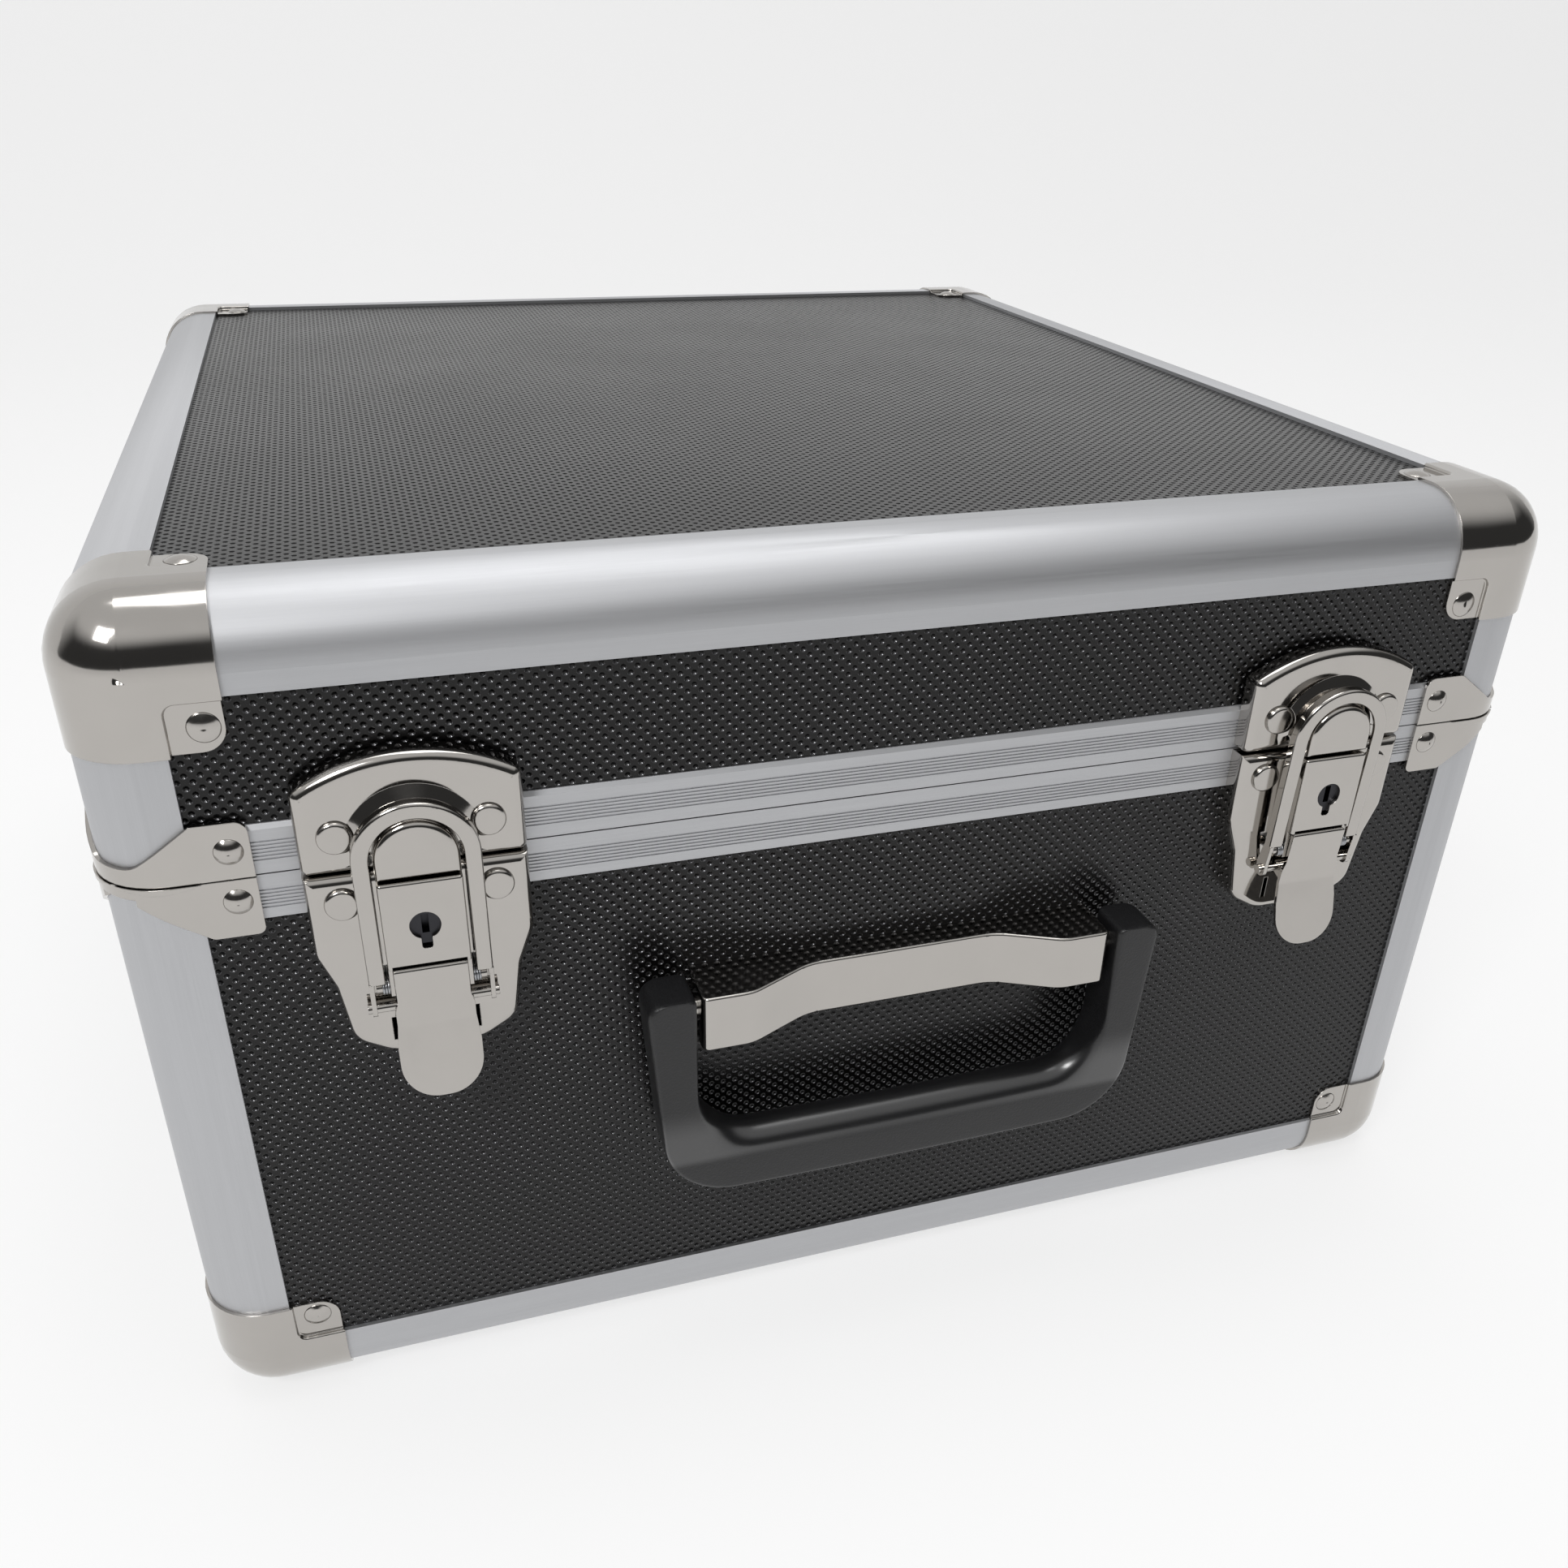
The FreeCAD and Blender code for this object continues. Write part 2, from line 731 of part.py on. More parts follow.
def make_lining():
    """Soft lining: a slab on each wall, a pad on the floor and one under the lid's top."""
    near, far = inner_in, inner_in + size.lining
    pad_top = inner_in + size.pad_thickness
    lid_low = tongue_top + size.lid_lining_clear
    roof_pad_low = size.case_height - pad_top
    spans = {"base": (pad_top, tongue_top), "lid": (lid_low, roof_pad_low)}
    nodes = [flat_slab("base_floor_pad", inner_in, pad_top, inner_in),
             flat_slab("lid_top_pad", roof_pad_low, size.case_height - inner_in, inner_in)]
    for half, (low, high) in spans.items():
        slabs = []
        for side in ROUND:
            end_gap = near if side in ("front", "rear") else far
            slabs.append(wall_slab(f"{half}_{side}_lining", side, near, far, end_gap, low, high))
        nodes.append(group(f"{half}_wall_lining", slabs))
    return nodes


# Shapes for the pressed corner pieces and the rivets, made with Part's own functions
def corner_places(top):
    """The placements that carry a piece made at the corner (0, 0, 0) to the four corners of a half."""
    z = (roof_z if top else floor_z).value
    for x, y, angle in CORNERS.values():
        turn = Turn(Vec(0, 0, 1), angle)
        if top:
            turn = turn.multiply(TIP_OVER)
        yield FreeCAD.Placement(Vec(x.value, y.value, z), turn)


def rounded_corner_block(low, high, radius):
    """A cube from low to high whose three edges at the low corner are rounded."""
    cube = Part.makeBox(high - low, high - low, high - low, Vec(low, low, low))
    edges = []
    for edge in cube.Edges:
        ends = [vertex.Point for vertex in edge.Vertexes]
        if sum(1 for point in ends if (point - Vec(low, low, low)).Length < 1e-6):
            edges.append(edge)
    return cube.makeFillet(radius, edges)


def cap_tab(rivet_radius):
    """One tab of a corner cap in the XY face: a plate on the panel and the step up to the rails."""
    start, end, sheet = size.rail_leg.value, size.cap_tab_end.value, size.cap_sheet.value
    panel = size.rail_wall.value
    plate = Part.makeBox(end - start, end - start, sheet, Vec(start, start, panel - sheet))
    wall_height = panel + sheet
    step_x = Part.makeBox(sheet, end - start, wall_height, Vec(start, start, -sheet))
    step_y = Part.makeBox(end - start, sheet, wall_height, Vec(start, start, -sheet))
    tab = plate.fuse([step_x, step_y]).removeSplitter()
    far = [edge for edge in tab.Edges if all(
        abs(vertex.X - end) < 1e-6 and abs(vertex.Y - end) < 1e-6 for vertex in edge.Vertexes)]
    tab = tab.makeFillet(size.cap_tab_radius.value, far)
    hole = Part.makeCylinder(rivet_radius, 4 * wall_height, Vec(
        size.cap_rivet_along.value, size.cap_rivet_across.value, -2 * wall_height))
    return tab.cut(hole)


def on_three_faces(shape):
    """A shape made on the XY face of the corner (0, 0, 0), turned onto all three of its faces."""
    made = []
    for angle in (0, 120, 240):
        copy = shape.copy()
        copy.rotate(Vec(0, 0, 0), Vec(1, 1, 1), angle)
        made.append(copy)
    return made


def corner_cap():
    """A pressed cap at the corner (0, 0, 0): a sheet over three rails, with a tab on each panel."""
    sheet, reach, cover = size.cap_sheet.value, size.cap_reach.value, size.cap_cover.value
    far = reach + 4 * sheet
    radius = size.rail_radius.value
    outer = rounded_corner_block(-sheet, far, radius + sheet)
    inner = rounded_corner_block(0.0, far + sheet, radius)
    shell = outer.cut(inner)
    along = reach + sheet
    across = cover + sheet
    low = Vec(-sheet, -sheet, -sheet)
    arms = Part.makeBox(along, across, across, low).fuse([
        Part.makeBox(across, along, across, low), Part.makeBox(across, across, along, low)])
    cap = shell.common(arms)
    tab = cap_tab(size.rivet_shank_radius.value)
    cap = cap.fuse(on_three_faces(tab)).removeSplitter()
    return soft_creases(cap)


def soft_creases(cap):
    """Round the step from the rails down to each tab of a cap."""
    cover, sheet = size.cap_cover.value, size.cap_sheet.value
    dimple, crease = size.cap_dimple_radius.value, size.cap_crease_radius.value
    tab_face = size.rail_wall.value - sheet

    def picked(wanted):
        edges = []
        for edge in cap.Edges:
            for turned in range(3):
                ends = [[point.x, point.y, point.z] for point in (vertex.Point for vertex in edge.Vertexes)]
                ends = [point[turned:] + point[:turned] for point in ends]
                if len(ends) == 2 and wanted(ends):
                    edges.append(edge)
                    break
        return edges

    def corner(ends):
        return all(abs(p[0] - cover) < 1e-6 and abs(p[1] - cover) < 1e-6 for p in ends)

    def along_step(height):
        def wanted(ends):
            level = all(abs(p[2] - height) < 1e-6 and min(p[0], p[1]) > cover - 1e-6 for p in ends)
            return level and all(min(p[0], p[1]) < cover + dimple + 1e-6 for p in ends) and any(
                max(p[0], p[1]) > size.cap_rivet_along.value for p in ends)
        return wanted

    cap = cap.makeFillet(dimple, picked(corner))
    cap = cap.makeFillet(crease, picked(along_step(-sheet)))
    return cap.makeFillet(crease / 2, picked(along_step(tab_face)))


def rivet(sheet, radius, height, bevel=None):
    """A rivet through a sheet that lies from 0 to sheet: its head above, domed or flat with a round rim."""
    head = Part.makeCylinder(radius, height, Vec(0, 0, sheet))
    if bevel is None:
        ball = (radius ** 2 + height ** 2) / (2 * height)
        head = head.common(Part.makeSphere(ball, Vec(0, 0, sheet + height - ball)))
    else:
        rim = [edge for edge in head.Edges if abs(edge.BoundBox.ZMin - sheet - height) < 1e-6]
        head = head.makeFillet(bevel, rim)
    shank = Part.makeCylinder(size.rivet_shank_radius.value, sheet)
    return head.fuse(shank).removeSplitter()


def cap_rivets():
    """The three rivets of one corner cap, at the corner (0, 0, 0)."""
    one = rivet(size.cap_sheet.value, size.cap_head_radius.value, size.cap_head_height.value)
    one.rotate(Vec(0, 0, 0), Vec(1, 0, 0), 180)
    one.translate(Vec(size.cap_rivet_along.value, size.cap_rivet_across.value, size.rail_wall.value))
    return on_three_faces(one)


def clamp_wall(low, high, proud):
    """The wall of a clamp round the corner post, between two heights."""
    reach, radius = size.clamp_reach.value, size.rail_radius.value
    outer = Part.makeBox(reach + proud, reach + proud, high - low, Vec(-proud, -proud, low))
    inner = Part.makeBox(reach + 1, reach + 1, high - low, Vec(0, 0, low))

    def corner_edge(block, at):
        return [edge for edge in block.Edges if all(
            abs(vertex.X - at) < 1e-6 and abs(vertex.Y - at) < 1e-6 for vertex in edge.Vertexes)]

    outer = outer.makeFillet(radius + proud, corner_edge(outer, -proud))
    inner = inner.makeFillet(radius, corner_edge(inner, 0.0))
    return outer.cut(inner)


def upright_face(corners):
    """A flat face in the XZ plane. Each corner is (across, up, radius), with radius 0 where it is sharp."""
    points = [Vec(across, up, 0) for across, up, _ in corners]
    count = len(points)
    edges, joints = [], []
    for index, (_, _, radius) in enumerate(corners):
        if not radius:
            joints.append((points[index], points[index]))
            continue
        start, end, centre, _ = arc_at(points[index], points[index - 1], points[(index + 1) % count], radius)
        middle = centre + (points[index] - centre).normalize() * radius
        edges.append(Part.Arc(start, middle, end).toShape())
        joints.append((start, end))
    for index in range(count):
        start, end = joints[index][1], joints[(index + 1) % count][0]
        if (end - start).Length > 1e-6:
            edges.append(Part.makeLine(start, end))
    face = Part.Face(Part.Wire(Part.__sortEdges__(edges)))
    face.rotate(Vec(0, 0, 0), Vec(1, 0, 0), 90)
    return face


def on_both_walls(face, deep, out):
    """A face of the XZ plane raised from a depth inside the front wall to outside it, and on the side wall."""
    front, side = face.copy(), face.copy()
    front.translate(Vec(0, deep, 0))
    side.rotate(Vec(0, 0, 0), Vec(0, 0, 1), 90)
    side.translate(Vec(deep, 0, 0))
    return [front.extrude(Vec(0, -deep - out, 0)), side.extrude(Vec(-deep - out, 0, 0))]


def corner_clamp(lid):
    """One parting clamp at the corner (0, 0), for the lid or for the base."""
    sheet, reach, radius = size.clamp_sheet.value, size.clamp_reach.value, size.rail_radius.value
    if lid:
        low, high = lid_bottom.value, (lid_bottom + size.clamp_lid_height).value
        edge, full, sign = (lid_bottom + size.clamp_lid_low).value, high, 1
        ease, flat, tip = size.clamp_lid_ease.value, size.clamp_lid_full.value, size.clamp_lid_corner.value
        rivet_height = (lid_bottom + size.clamp_rivet_lid).value
    else:
        low, high = (base_top - size.clamp_base_height).value, base_top.value
        edge, full, sign = (base_top - size.clamp_base_low).value, low, -1
        ease, flat, tip = size.clamp_base_ease.value, size.clamp_base_full.value, size.clamp_base_corner.value
        rivet_height = (base_top - size.clamp_rivet_base).value
    past = 5.0
    turn_in = full - sign * tip
    beyond = full + sign * past
    bend = size.clamp_low_bend.value
    waste = upright_face([
        (-past, edge, 0), (ease, edge, bend), (flat, full, size.clamp_full_bend.value), (reach, full, tip),
        (reach, turn_in, 0), (reach + past, turn_in, 0), (reach + past, beyond, 0), (-past, beyond, 0)])
    straight = ease - bend / 2
    deep = radius - math.sqrt(radius ** 2 - (radius - straight) ** 2)
    block = Part.makeBox(straight + past, straight + past, abs(beyond - edge), Vec(-past, -past, min(edge, beyond)))
    clamp = clamp_wall(low, high, sheet).cut(on_both_walls(waste, deep, 2 * sheet) + [block])
    along = size.clamp_rivet_along.value
    hole_radius = size.rivet_shank_radius.value
    hole_front = Part.makeCylinder(hole_radius, 3 * sheet, Vec(along, sheet, rivet_height), Vec(0, -1, 0))
    hole_side = Part.makeCylinder(hole_radius, 3 * sheet, Vec(sheet, along, rivet_height), Vec(-1, 0, 0))
    clamp = clamp.cut([hole_front, hole_side])
    if not lid:
        clamp = clamp.fuse(clamp_bead(high)).removeSplitter()
    return clamp


def clamp_bead(high):
    """The rolled lip along the top of a base clamp, fullest at its middle and running out at both ends."""
    start, end, height = size.bead_start.value, size.bead_end.value, size.bead_height.value
    proud = size.clamp_sheet.value + size.bead_proud.value
    middle = Vec((start + end) / 2, 0, high - height)
    lens = Part.Face(Part.Wire([
        Part.Arc(Vec(start, 0, high), middle, Vec(end, 0, high)).toShape(),
        Part.makeLine(Vec(end, 0, high), Vec(start, 0, high))]))
    lip = clamp_wall(high - 2 * height, high, proud)
    return lip.common(Part.makeCompound(on_both_walls(lens, start, 2 * proud)))


def clamp_rivets(lid):
    """The two rivets of one clamp."""
    height = (lid_bottom + size.clamp_rivet_lid if lid else base_top - size.clamp_rivet_base).value
    along = size.clamp_rivet_along.value
    one = rivet(size.clamp_sheet.value, size.clamp_head_radius.value, size.clamp_head_height.value)
    on_front = one.copy()
    on_front.rotate(Vec(0, 0, 0), Vec(1, 0, 0), 90)
    on_front.translate(Vec(along, 0, height))
    on_side = one.copy()
    on_side.rotate(Vec(0, 0, 0), Vec(0, 1, 0), -90)
    on_side.translate(Vec(0, along, height))
    return [on_front, on_side]


def copies(shapes, placements):
    """A compound of every shape at every placement."""
    made = []
    for placement in placements:
        for shape in shapes:
            copy = shape.copy()
            copy.Placement = placement.multiply(copy.Placement)
            made.append(copy)
    return Part.makeCompound(made)


def upright_places():
    for x, y, angle in CORNERS.values():
        yield FreeCAD.Placement(Vec(x.value, y.value, floor_z.value), Turn(Vec(0, 0, 1), angle))


def make_corners():
    """Corner caps and parting clamps of both halves."""
    nodes = []
    for half, lid in (("base", False), ("lid", True)):
        nodes.append(feature(f"{half}_corner_caps", copies([corner_cap()], corner_places(lid))))
        nodes.append(feature(f"{half}_corner_clamps", copies([corner_clamp(lid)], upright_places())))
    return nodes


def rivets_on_front(across, height, out, sheet):
    """A rivet head on a front plate, both sides of both latches."""
    one = rivet(sheet, size.latch_head_radius.value, size.latch_head_height.value, size.latch_head_bevel.value)
    one.rotate(Vec(0, 0, 0), Vec(1, 0, 0), 90)
    made = []
    for latch in (-1, 1):
        for side in (-1, 1):
            x = latch * latch_offset.value + side * across
            copy = one.copy()
            copy.translate(Vec(x, front_y.value - out, floor_z.value + height))
            made.append(copy)
    return made


def make_rivets():
    """Every rivet of each half, as one group of solids."""
    sheet = size.plate_sheet.value
    under = size.plate_out.value - sheet
    nodes = []
    for half, lid in (("base", False), ("lid", True)):
        caps = copies(cap_rivets(), corner_places(lid)).Solids
        clamps = copies(clamp_rivets(lid), upright_places()).Solids
        if lid:
            height = (parting_height + size.strike_rivet_height).value
            plates = rivets_on_front(size.strike_rivet_across.value, height, under, sheet)
        else:
            height = (parting_height - size.plate_rivet_drop).value
            plates = rivets_on_front(size.plate_rivet_across.value, height, under, sheet)
        nodes.append(feature(f"{half}_rivets", Part.makeCompound(caps + clamps + plates)))
    return nodes


# Latches
def latch_place(item, side):
    """Place a latch piece, made about its own middle, on the left or right of the front."""
    offset = -latch_offset if side == "left" else latch_offset
    place(item, offset, front_y, floor_z)


def down(amount):
    """A height below the parting line."""
    return parting_height - amount


def is_on_face(edge, out):
    """True for an edge that lies wholly in the plane at a distance in front of the rails."""
    return all(abs(vertex.Y + out) < 1e-4 for vertex in edge.Vertexes) and abs(edge.BoundBox.YLength) < 1e-4


def pan_outline(edge):
    """The strike's outline with its arched top, drawn in from its edge by a distance."""
    half = size.plate_half_width - edge
    low = lid_bottom + size.parting_gap / 2 + edge
    slope = math.atan2(SIZES["strike_tip_height"] - SIZES["strike_side_height"], SIZES["plate_half_width"])
    tip = parting_height + size.strike_tip_height - edge * (1 / math.cos(slope))
    side_top = parting_height + size.strike_side_height - edge * ((1 - math.sin(slope)) / math.cos(slope))
    low_radius, high_radius = size.plate_corner_radius, size.strike_corner_radius
    shoulder_run = high_radius * math.tan((math.pi / 2 - slope) / 2)
    arch_radius = (size.plate_half_width / math.cos(slope) - shoulder_run) * (0.985 / math.tan(slope))
    return [(-half, low, low_radius), (half, low, low_radius), (half, side_top, high_radius - edge),
            (0.0, tip, arch_radius - edge), (-half, side_top, high_radius - edge)]


def latch_strike(side):
    """The lid's half of a latch: a pan with a domed boss and the nose that the bail hooks over."""
    body = new_body(f"latch_strike_{side}")
    sheet, out = size.plate_sheet, size.plate_out
    outer = new_sketch(body, "XZ_Plane")
    outline(outer, pan_outline(length(0.0)))
    pad(body, outer, out)
    soften(body, size.plate_edge_radius, lambda edge: is_on_face(edge, out.value))
    hollow = new_sketch(body, "XZ_Plane")
    outline(hollow, pan_outline(sheet))
    pocket(body, hollow, out - sheet)
    centre = parting_height + size.nose_centre
    low = lid_bottom + size.parting_gap / 2
    boss = new_sketch(body, "XZ_Plane", out - sheet / 2)
    arch(boss, low + sheet, centre, size.boss_radius)
    raised = pad(body, boss, size.boss_out - out + sheet / 2)
    rise = SIZES["boss_out"] - SIZES["plate_out"] + SIZES["plate_sheet"] / 2
    slope = math.degrees(math.atan2(SIZES["boss_radius"] - SIZES["boss_top_radius"], rise))
    raised.TaperAngle = -slope
    nose = new_sketch(body, "XZ_Plane", out - sheet / 2)
    arch(nose, low, centre, size.nose_radius)
    pad(body, nose, size.nose_out - out + sheet / 2)
    soften(body, size.nose_edge_radius, lambda edge: is_on_face(edge, size.nose_out.value))
    holes = new_sketch(body, "XZ_Plane", out - sheet * 2)
    for sign in (-1, 1):
        circle(holes, size.strike_rivet_across * sign, parting_height + size.strike_rivet_height,
               size.rivet_shank_radius)
    pocket(body, holes, sheet * 3)
    seats = new_sketch(body, "XZ_Plane", out)
    for sign in (-1, 1):
        circle(seats, size.strike_rivet_across * sign, parting_height + size.strike_rivet_height,
               size.latch_head_radius + size.rivet_seat_clear)
    pocket(body, seats, out)
    latch_place(body, side)
    return body


def base_plate_outline(edge, top):
    """The base plate's outline from a top height down, drawn in from its edge by a distance."""
    wide, waist = size.plate_half_width - edge, size.waist_half_width - edge
    foot = size.foot_half_width - edge
    bottom = down(size.plate_drop) + edge
    right = [(foot * 0.55, bottom, 12.0), (foot, down(size.foot_top) + edge * 0.5, 8.0),
             (waist, down(size.shoulder_bottom), 8.0), (wide, down(size.shoulder_top), 8.0), (wide, top)]
    left = [(-corner[0], *corner[1:]) for corner in reversed(right)]
    return right + left


def latch_base_plate(side):
    """The base's half of a latch: a pan with rivet holes, a window for the lever and two slots."""
    body = new_body(f"latch_base_plate_{side}")
    sheet, out, wall = size.plate_sheet, size.plate_out, size.rail_wall
    rail_low = base_top - size.closing_base_height
    top = base_top - size.parting_gap / 2
    outer = new_sketch(body, "XZ_Plane")
    outline(outer, base_plate_outline(length(0.0), top))
    pad(body, outer, out)
    soften(body, size.plate_edge_radius, lambda edge: is_on_face(edge, out.value))
    skirt = new_sketch(body, "XZ_Plane", -wall)
    outline(skirt, base_plate_outline(length(0.0), rail_low - 0.2))
    pad(body, skirt, wall)
    hollow = new_sketch(body, "XZ_Plane", -wall)
    outline(hollow, base_plate_outline(sheet, top - sheet))
    pocket(body, hollow, out + wall - sheet)
    window = new_sketch(body, "XZ_Plane", out - sheet * 2)
    half = size.window_half_width
    outline(window, [(-half, down(size.window_bottom), 2.0), (half, down(size.window_bottom), 2.0),
                     (half, down(size.window_top), 2.0), (-half, down(size.window_top), 2.0)])
    for sign in (-1, 1):
        circle(window, size.plate_rivet_across * sign, down(size.plate_rivet_drop), size.rivet_shank_radius)
        middle = size.plate_slot_across * sign
        near, far = middle - size.plate_slot_width / 2, middle + size.plate_slot_width / 2
        outline(window, [(near, down(size.plate_slot_bottom)), (far, down(size.plate_slot_bottom)),
                         (far, down(size.plate_slot_top)), (near, down(size.plate_slot_top))])
    pocket(body, window, sheet * 3)
    latch_place(body, side)
    return body


def lock_housing(side):
    """The fixed cover of a latch: a channel with a keyhole, whose ears hold the fulcrum pin."""
    body = new_body(f"lock_housing_{side}")
    half, wall, out, low_out = size.housing_half_width, size.housing_wall, size.housing_out, size.plate_out
    top = base_top - size.parting_gap / 2
    ear_low = down(size.housing_ear_bottom)
    sketch = new_sketch(body, "XZ_Plane", low_out)
    outline(sketch, [(-half, ear_low), (half, ear_low), (half, top, 1.0), (-half, top, 1.0)])
    pad(body, sketch, out - low_out)
    soften(body, length(1.0), lambda edge: is_on_face(edge, out.value))
    inside = new_sketch(body, "XZ_Plane", low_out)
    inner = half - wall
    outline(inside, [(-inner, ear_low - 1.0), (inner, ear_low - 1.0), (inner, top - wall), (-inner, top - wall)])
    pocket(body, inside, out - low_out - wall)
    opening = new_sketch(body, "XZ_Plane", low_out)
    plate_low = down(size.housing_bottom)
    outline(opening, [(-inner, ear_low - 1.0), (inner, ear_low - 1.0), (inner, plate_low), (-inner, plate_low)])
    pocket(body, opening, out - low_out + 1.0)
    keyhole = new_sketch(body, "XZ_Plane", out - wall * 2)
    circle(keyhole, 0.0, down(size.keyhole_drop), size.keyhole_radius)
    pocket(body, keyhole, wall * 3)
    key_slot = new_sketch(body, "XZ_Plane", out - wall * 2)
    slot_half = size.keyhole_slot_width / 2
    slot_low = down(size.keyhole_drop + size.keyhole_slot_drop)
    outline(key_slot, [(-slot_half, slot_low, 1.0), (slot_half, slot_low, 1.0),
                       (slot_half, down(size.keyhole_drop)), (-slot_half, down(size.keyhole_drop))])
    pocket(body, key_slot, wall * 3)
    bore = new_sketch(body, "YZ_Plane")
    circle(bore, -size.fulcrum_out, down(size.fulcrum_drop), size.pin_radius + size.pin_clear)
    pocket(body, bore, half * 4, midplane=True)
    ear_round = new_sketch(body, "YZ_Plane")
    ear_out = size.housing_ear_out
    outline(ear_round, [(-out - 1.0, ear_low - 1.0), (-ear_out, ear_low - 1.0),
                        (-ear_out, plate_low - 1.0), (-out - 1.0, plate_low - 1.0)])
    pocket(body, ear_round, half * 4, midplane=True)
    latch_place(body, side)
    return body


def lock_body(side):
    """The block behind the keyhole that the plug turns in."""
    body = new_body(f"lock_body_{side}")
    half, tall = size.lock_body_half_width, size.lock_body_half_height
    centre = down(size.keyhole_drop)
    sketch = new_sketch(body, "XZ_Plane", size.plate_out)
    outline(sketch, [(-half, centre - tall), (half, centre - tall), (half, centre + tall), (-half, centre + tall)])
    pad(body, sketch, size.housing_out - size.housing_wall - size.plate_out)
    bore = new_sketch(body, "XZ_Plane", size.plate_out + 1.0)
    circle(bore, 0.0, centre, size.plug_radius + size.plug_clear)
    pocket(body, bore, size.housing_out)
    latch_place(body, side)
    return body


def lock_plug(side):
    """The plug that the key turns, with its keyway."""
    body = new_body(f"lock_plug_{side}")
    start = size.plate_out + 1.0 + size.plug_clear
    sketch = new_sketch(body, "XZ_Plane", start)
    circle(sketch, 0.0, down(size.keyhole_drop), size.plug_radius)
    pad(body, sketch, size.plug_face_out - start)
    keyway = new_sketch(body, "XZ_Plane", size.plug_face_out - size.keyway_depth)
    half, tall, centre = size.keyway_width / 2, size.keyway_height / 2, down(size.keyhole_drop)
    outline(keyway, [(-half, centre - tall), (half, centre - tall), (half, centre + tall), (-half, centre + tall)])
    pocket(body, keyway, size.keyway_depth + 1.0)
    latch_place(body, side)
    return body


def cross_pin(label, side, out, drop, half):
    """A pin across a latch."""
    body = new_body(label)
    sketch = new_sketch(body, "YZ_Plane")
    circle(sketch, -out, down(drop), size.pin_radius)
    pad(body, sketch, half * 2, midplane=True)
    latch_place(body, side)
    return body


def latch_spring(side):
    """A pair of torsion springs on the fulcrum pin, drawn as plain coils of rings."""
    rings = []
    pitch = size.spring_wire.value * 1.02
    inner_end = size.housing_half_width.value + size.spring_wire.value / 2 + 0.1
    offset = latch_offset.value * (-1 if side == "left" else 1)
    centre = Vec(offset, front_y.value - size.fulcrum_out.value, floor_z.value + down(size.fulcrum_drop).value)
    for sign in (-1, 1):
        for number in range(3):
            ring = Part.makeTorus(size.spring_radius.value - size.spring_wire.value / 2,
                                  size.spring_wire.value / 2, Vec(0, 0, 0), Vec(1, 0, 0))
            ring.translate(centre + Vec(sign * (inner_end + pitch * number), 0, 0))
            rings.append(ring)
    return rings


def latch_lever(side):
    """The lever: a bent front plate with a thumb tab, and two side walls round the pins."""
    body = new_body(f"latch_lever_{side}")
    sheet = size.lever_sheet
    top, crease, tip = down(size.lever_top_drop), down(size.lever_crease_drop), down(size.lever_tip_drop)
    top_out, crease_out, tip_out = size.lever_top_out, size.lever_crease_out, size.lever_tip_out
    strip = new_sketch(body, "YZ_Plane")
    outline(strip, [(-top_out, top, size.lever_edge_radius), (-crease_out, crease, size.lever_bend_radius),
                    (-tip_out, tip), (sheet - tip_out, tip), (sheet - crease_out, crease, size.lever_bend_radius),
                    (sheet - top_out, top)])
    pad(body, strip, size.lever_tab_half * 2, midplane=True)
    wall = new_sketch(body, "YZ_Plane")
    ear = size.lever_ear_radius
    back = -(size.bail_pivot_out - ear)
    pivot_low = down(size.bail_pivot_drop) - ear
    outline(wall, [(sheet / 2 - top_out, top), (sheet / 2 - crease_out, crease),
                   (back, pivot_low, 2.0),
                   (back, down(size.bail_pivot_drop) + ear),
                   (-(size.fulcrum_out - ear), down(size.fulcrum_drop) + ear, 1.5)])
    pad(body, wall, size.lever_wall_half * 2, midplane=True)
    inside = new_sketch(body, "YZ_Plane")
    outline(inside, [(sheet - top_out, top), (sheet - crease_out, crease), (5.0, crease), (5.0, top)])
    pocket(body, inside, (size.lever_wall_half - size.lever_wall) * 2, midplane=True)
    bores = new_sketch(body, "YZ_Plane")
    circle(bores, -size.fulcrum_out, down(size.fulcrum_drop), size.pin_radius + size.pin_clear)
    circle(bores, -size.bail_pivot_out, down(size.bail_pivot_drop), size.pin_radius + size.pin_clear)
    pocket(body, bores, size.lever_tab_half * 4, midplane=True)
    waste = new_sketch(body, "XZ_Plane", size.bail_pivot_out - ear - 3.0)
    far, high, low = size.lever_tab_half + 4.0, top + 4.0, tip - 4.0
    outline(waste, [(-far, low), (far, low), (far, high), (-far, high)])
    flare_top, flare_low = down(size.lever_flare_top), down(size.lever_flare_bottom)
    tab, plain, narrow = size.lever_tab_half, size.lever_half, size.lever_top_half + 0.3
    right = [(size.lever_tip_half, tip, size.lever_tip_radius), (tab, down(size.lever_tab_drop), 3.0),
             (plain, crease, 6.0), (plain, flare_low, 3.0),
             (narrow, flare_top, 3.0), (narrow, top, 1.0)]
    outline(waste, right + [(-corner[0], *corner[1:]) for corner in reversed(right)])
    pocket(body, waste, size.lever_tip_out + 6.0)
    latch_place(body, side)
    return body


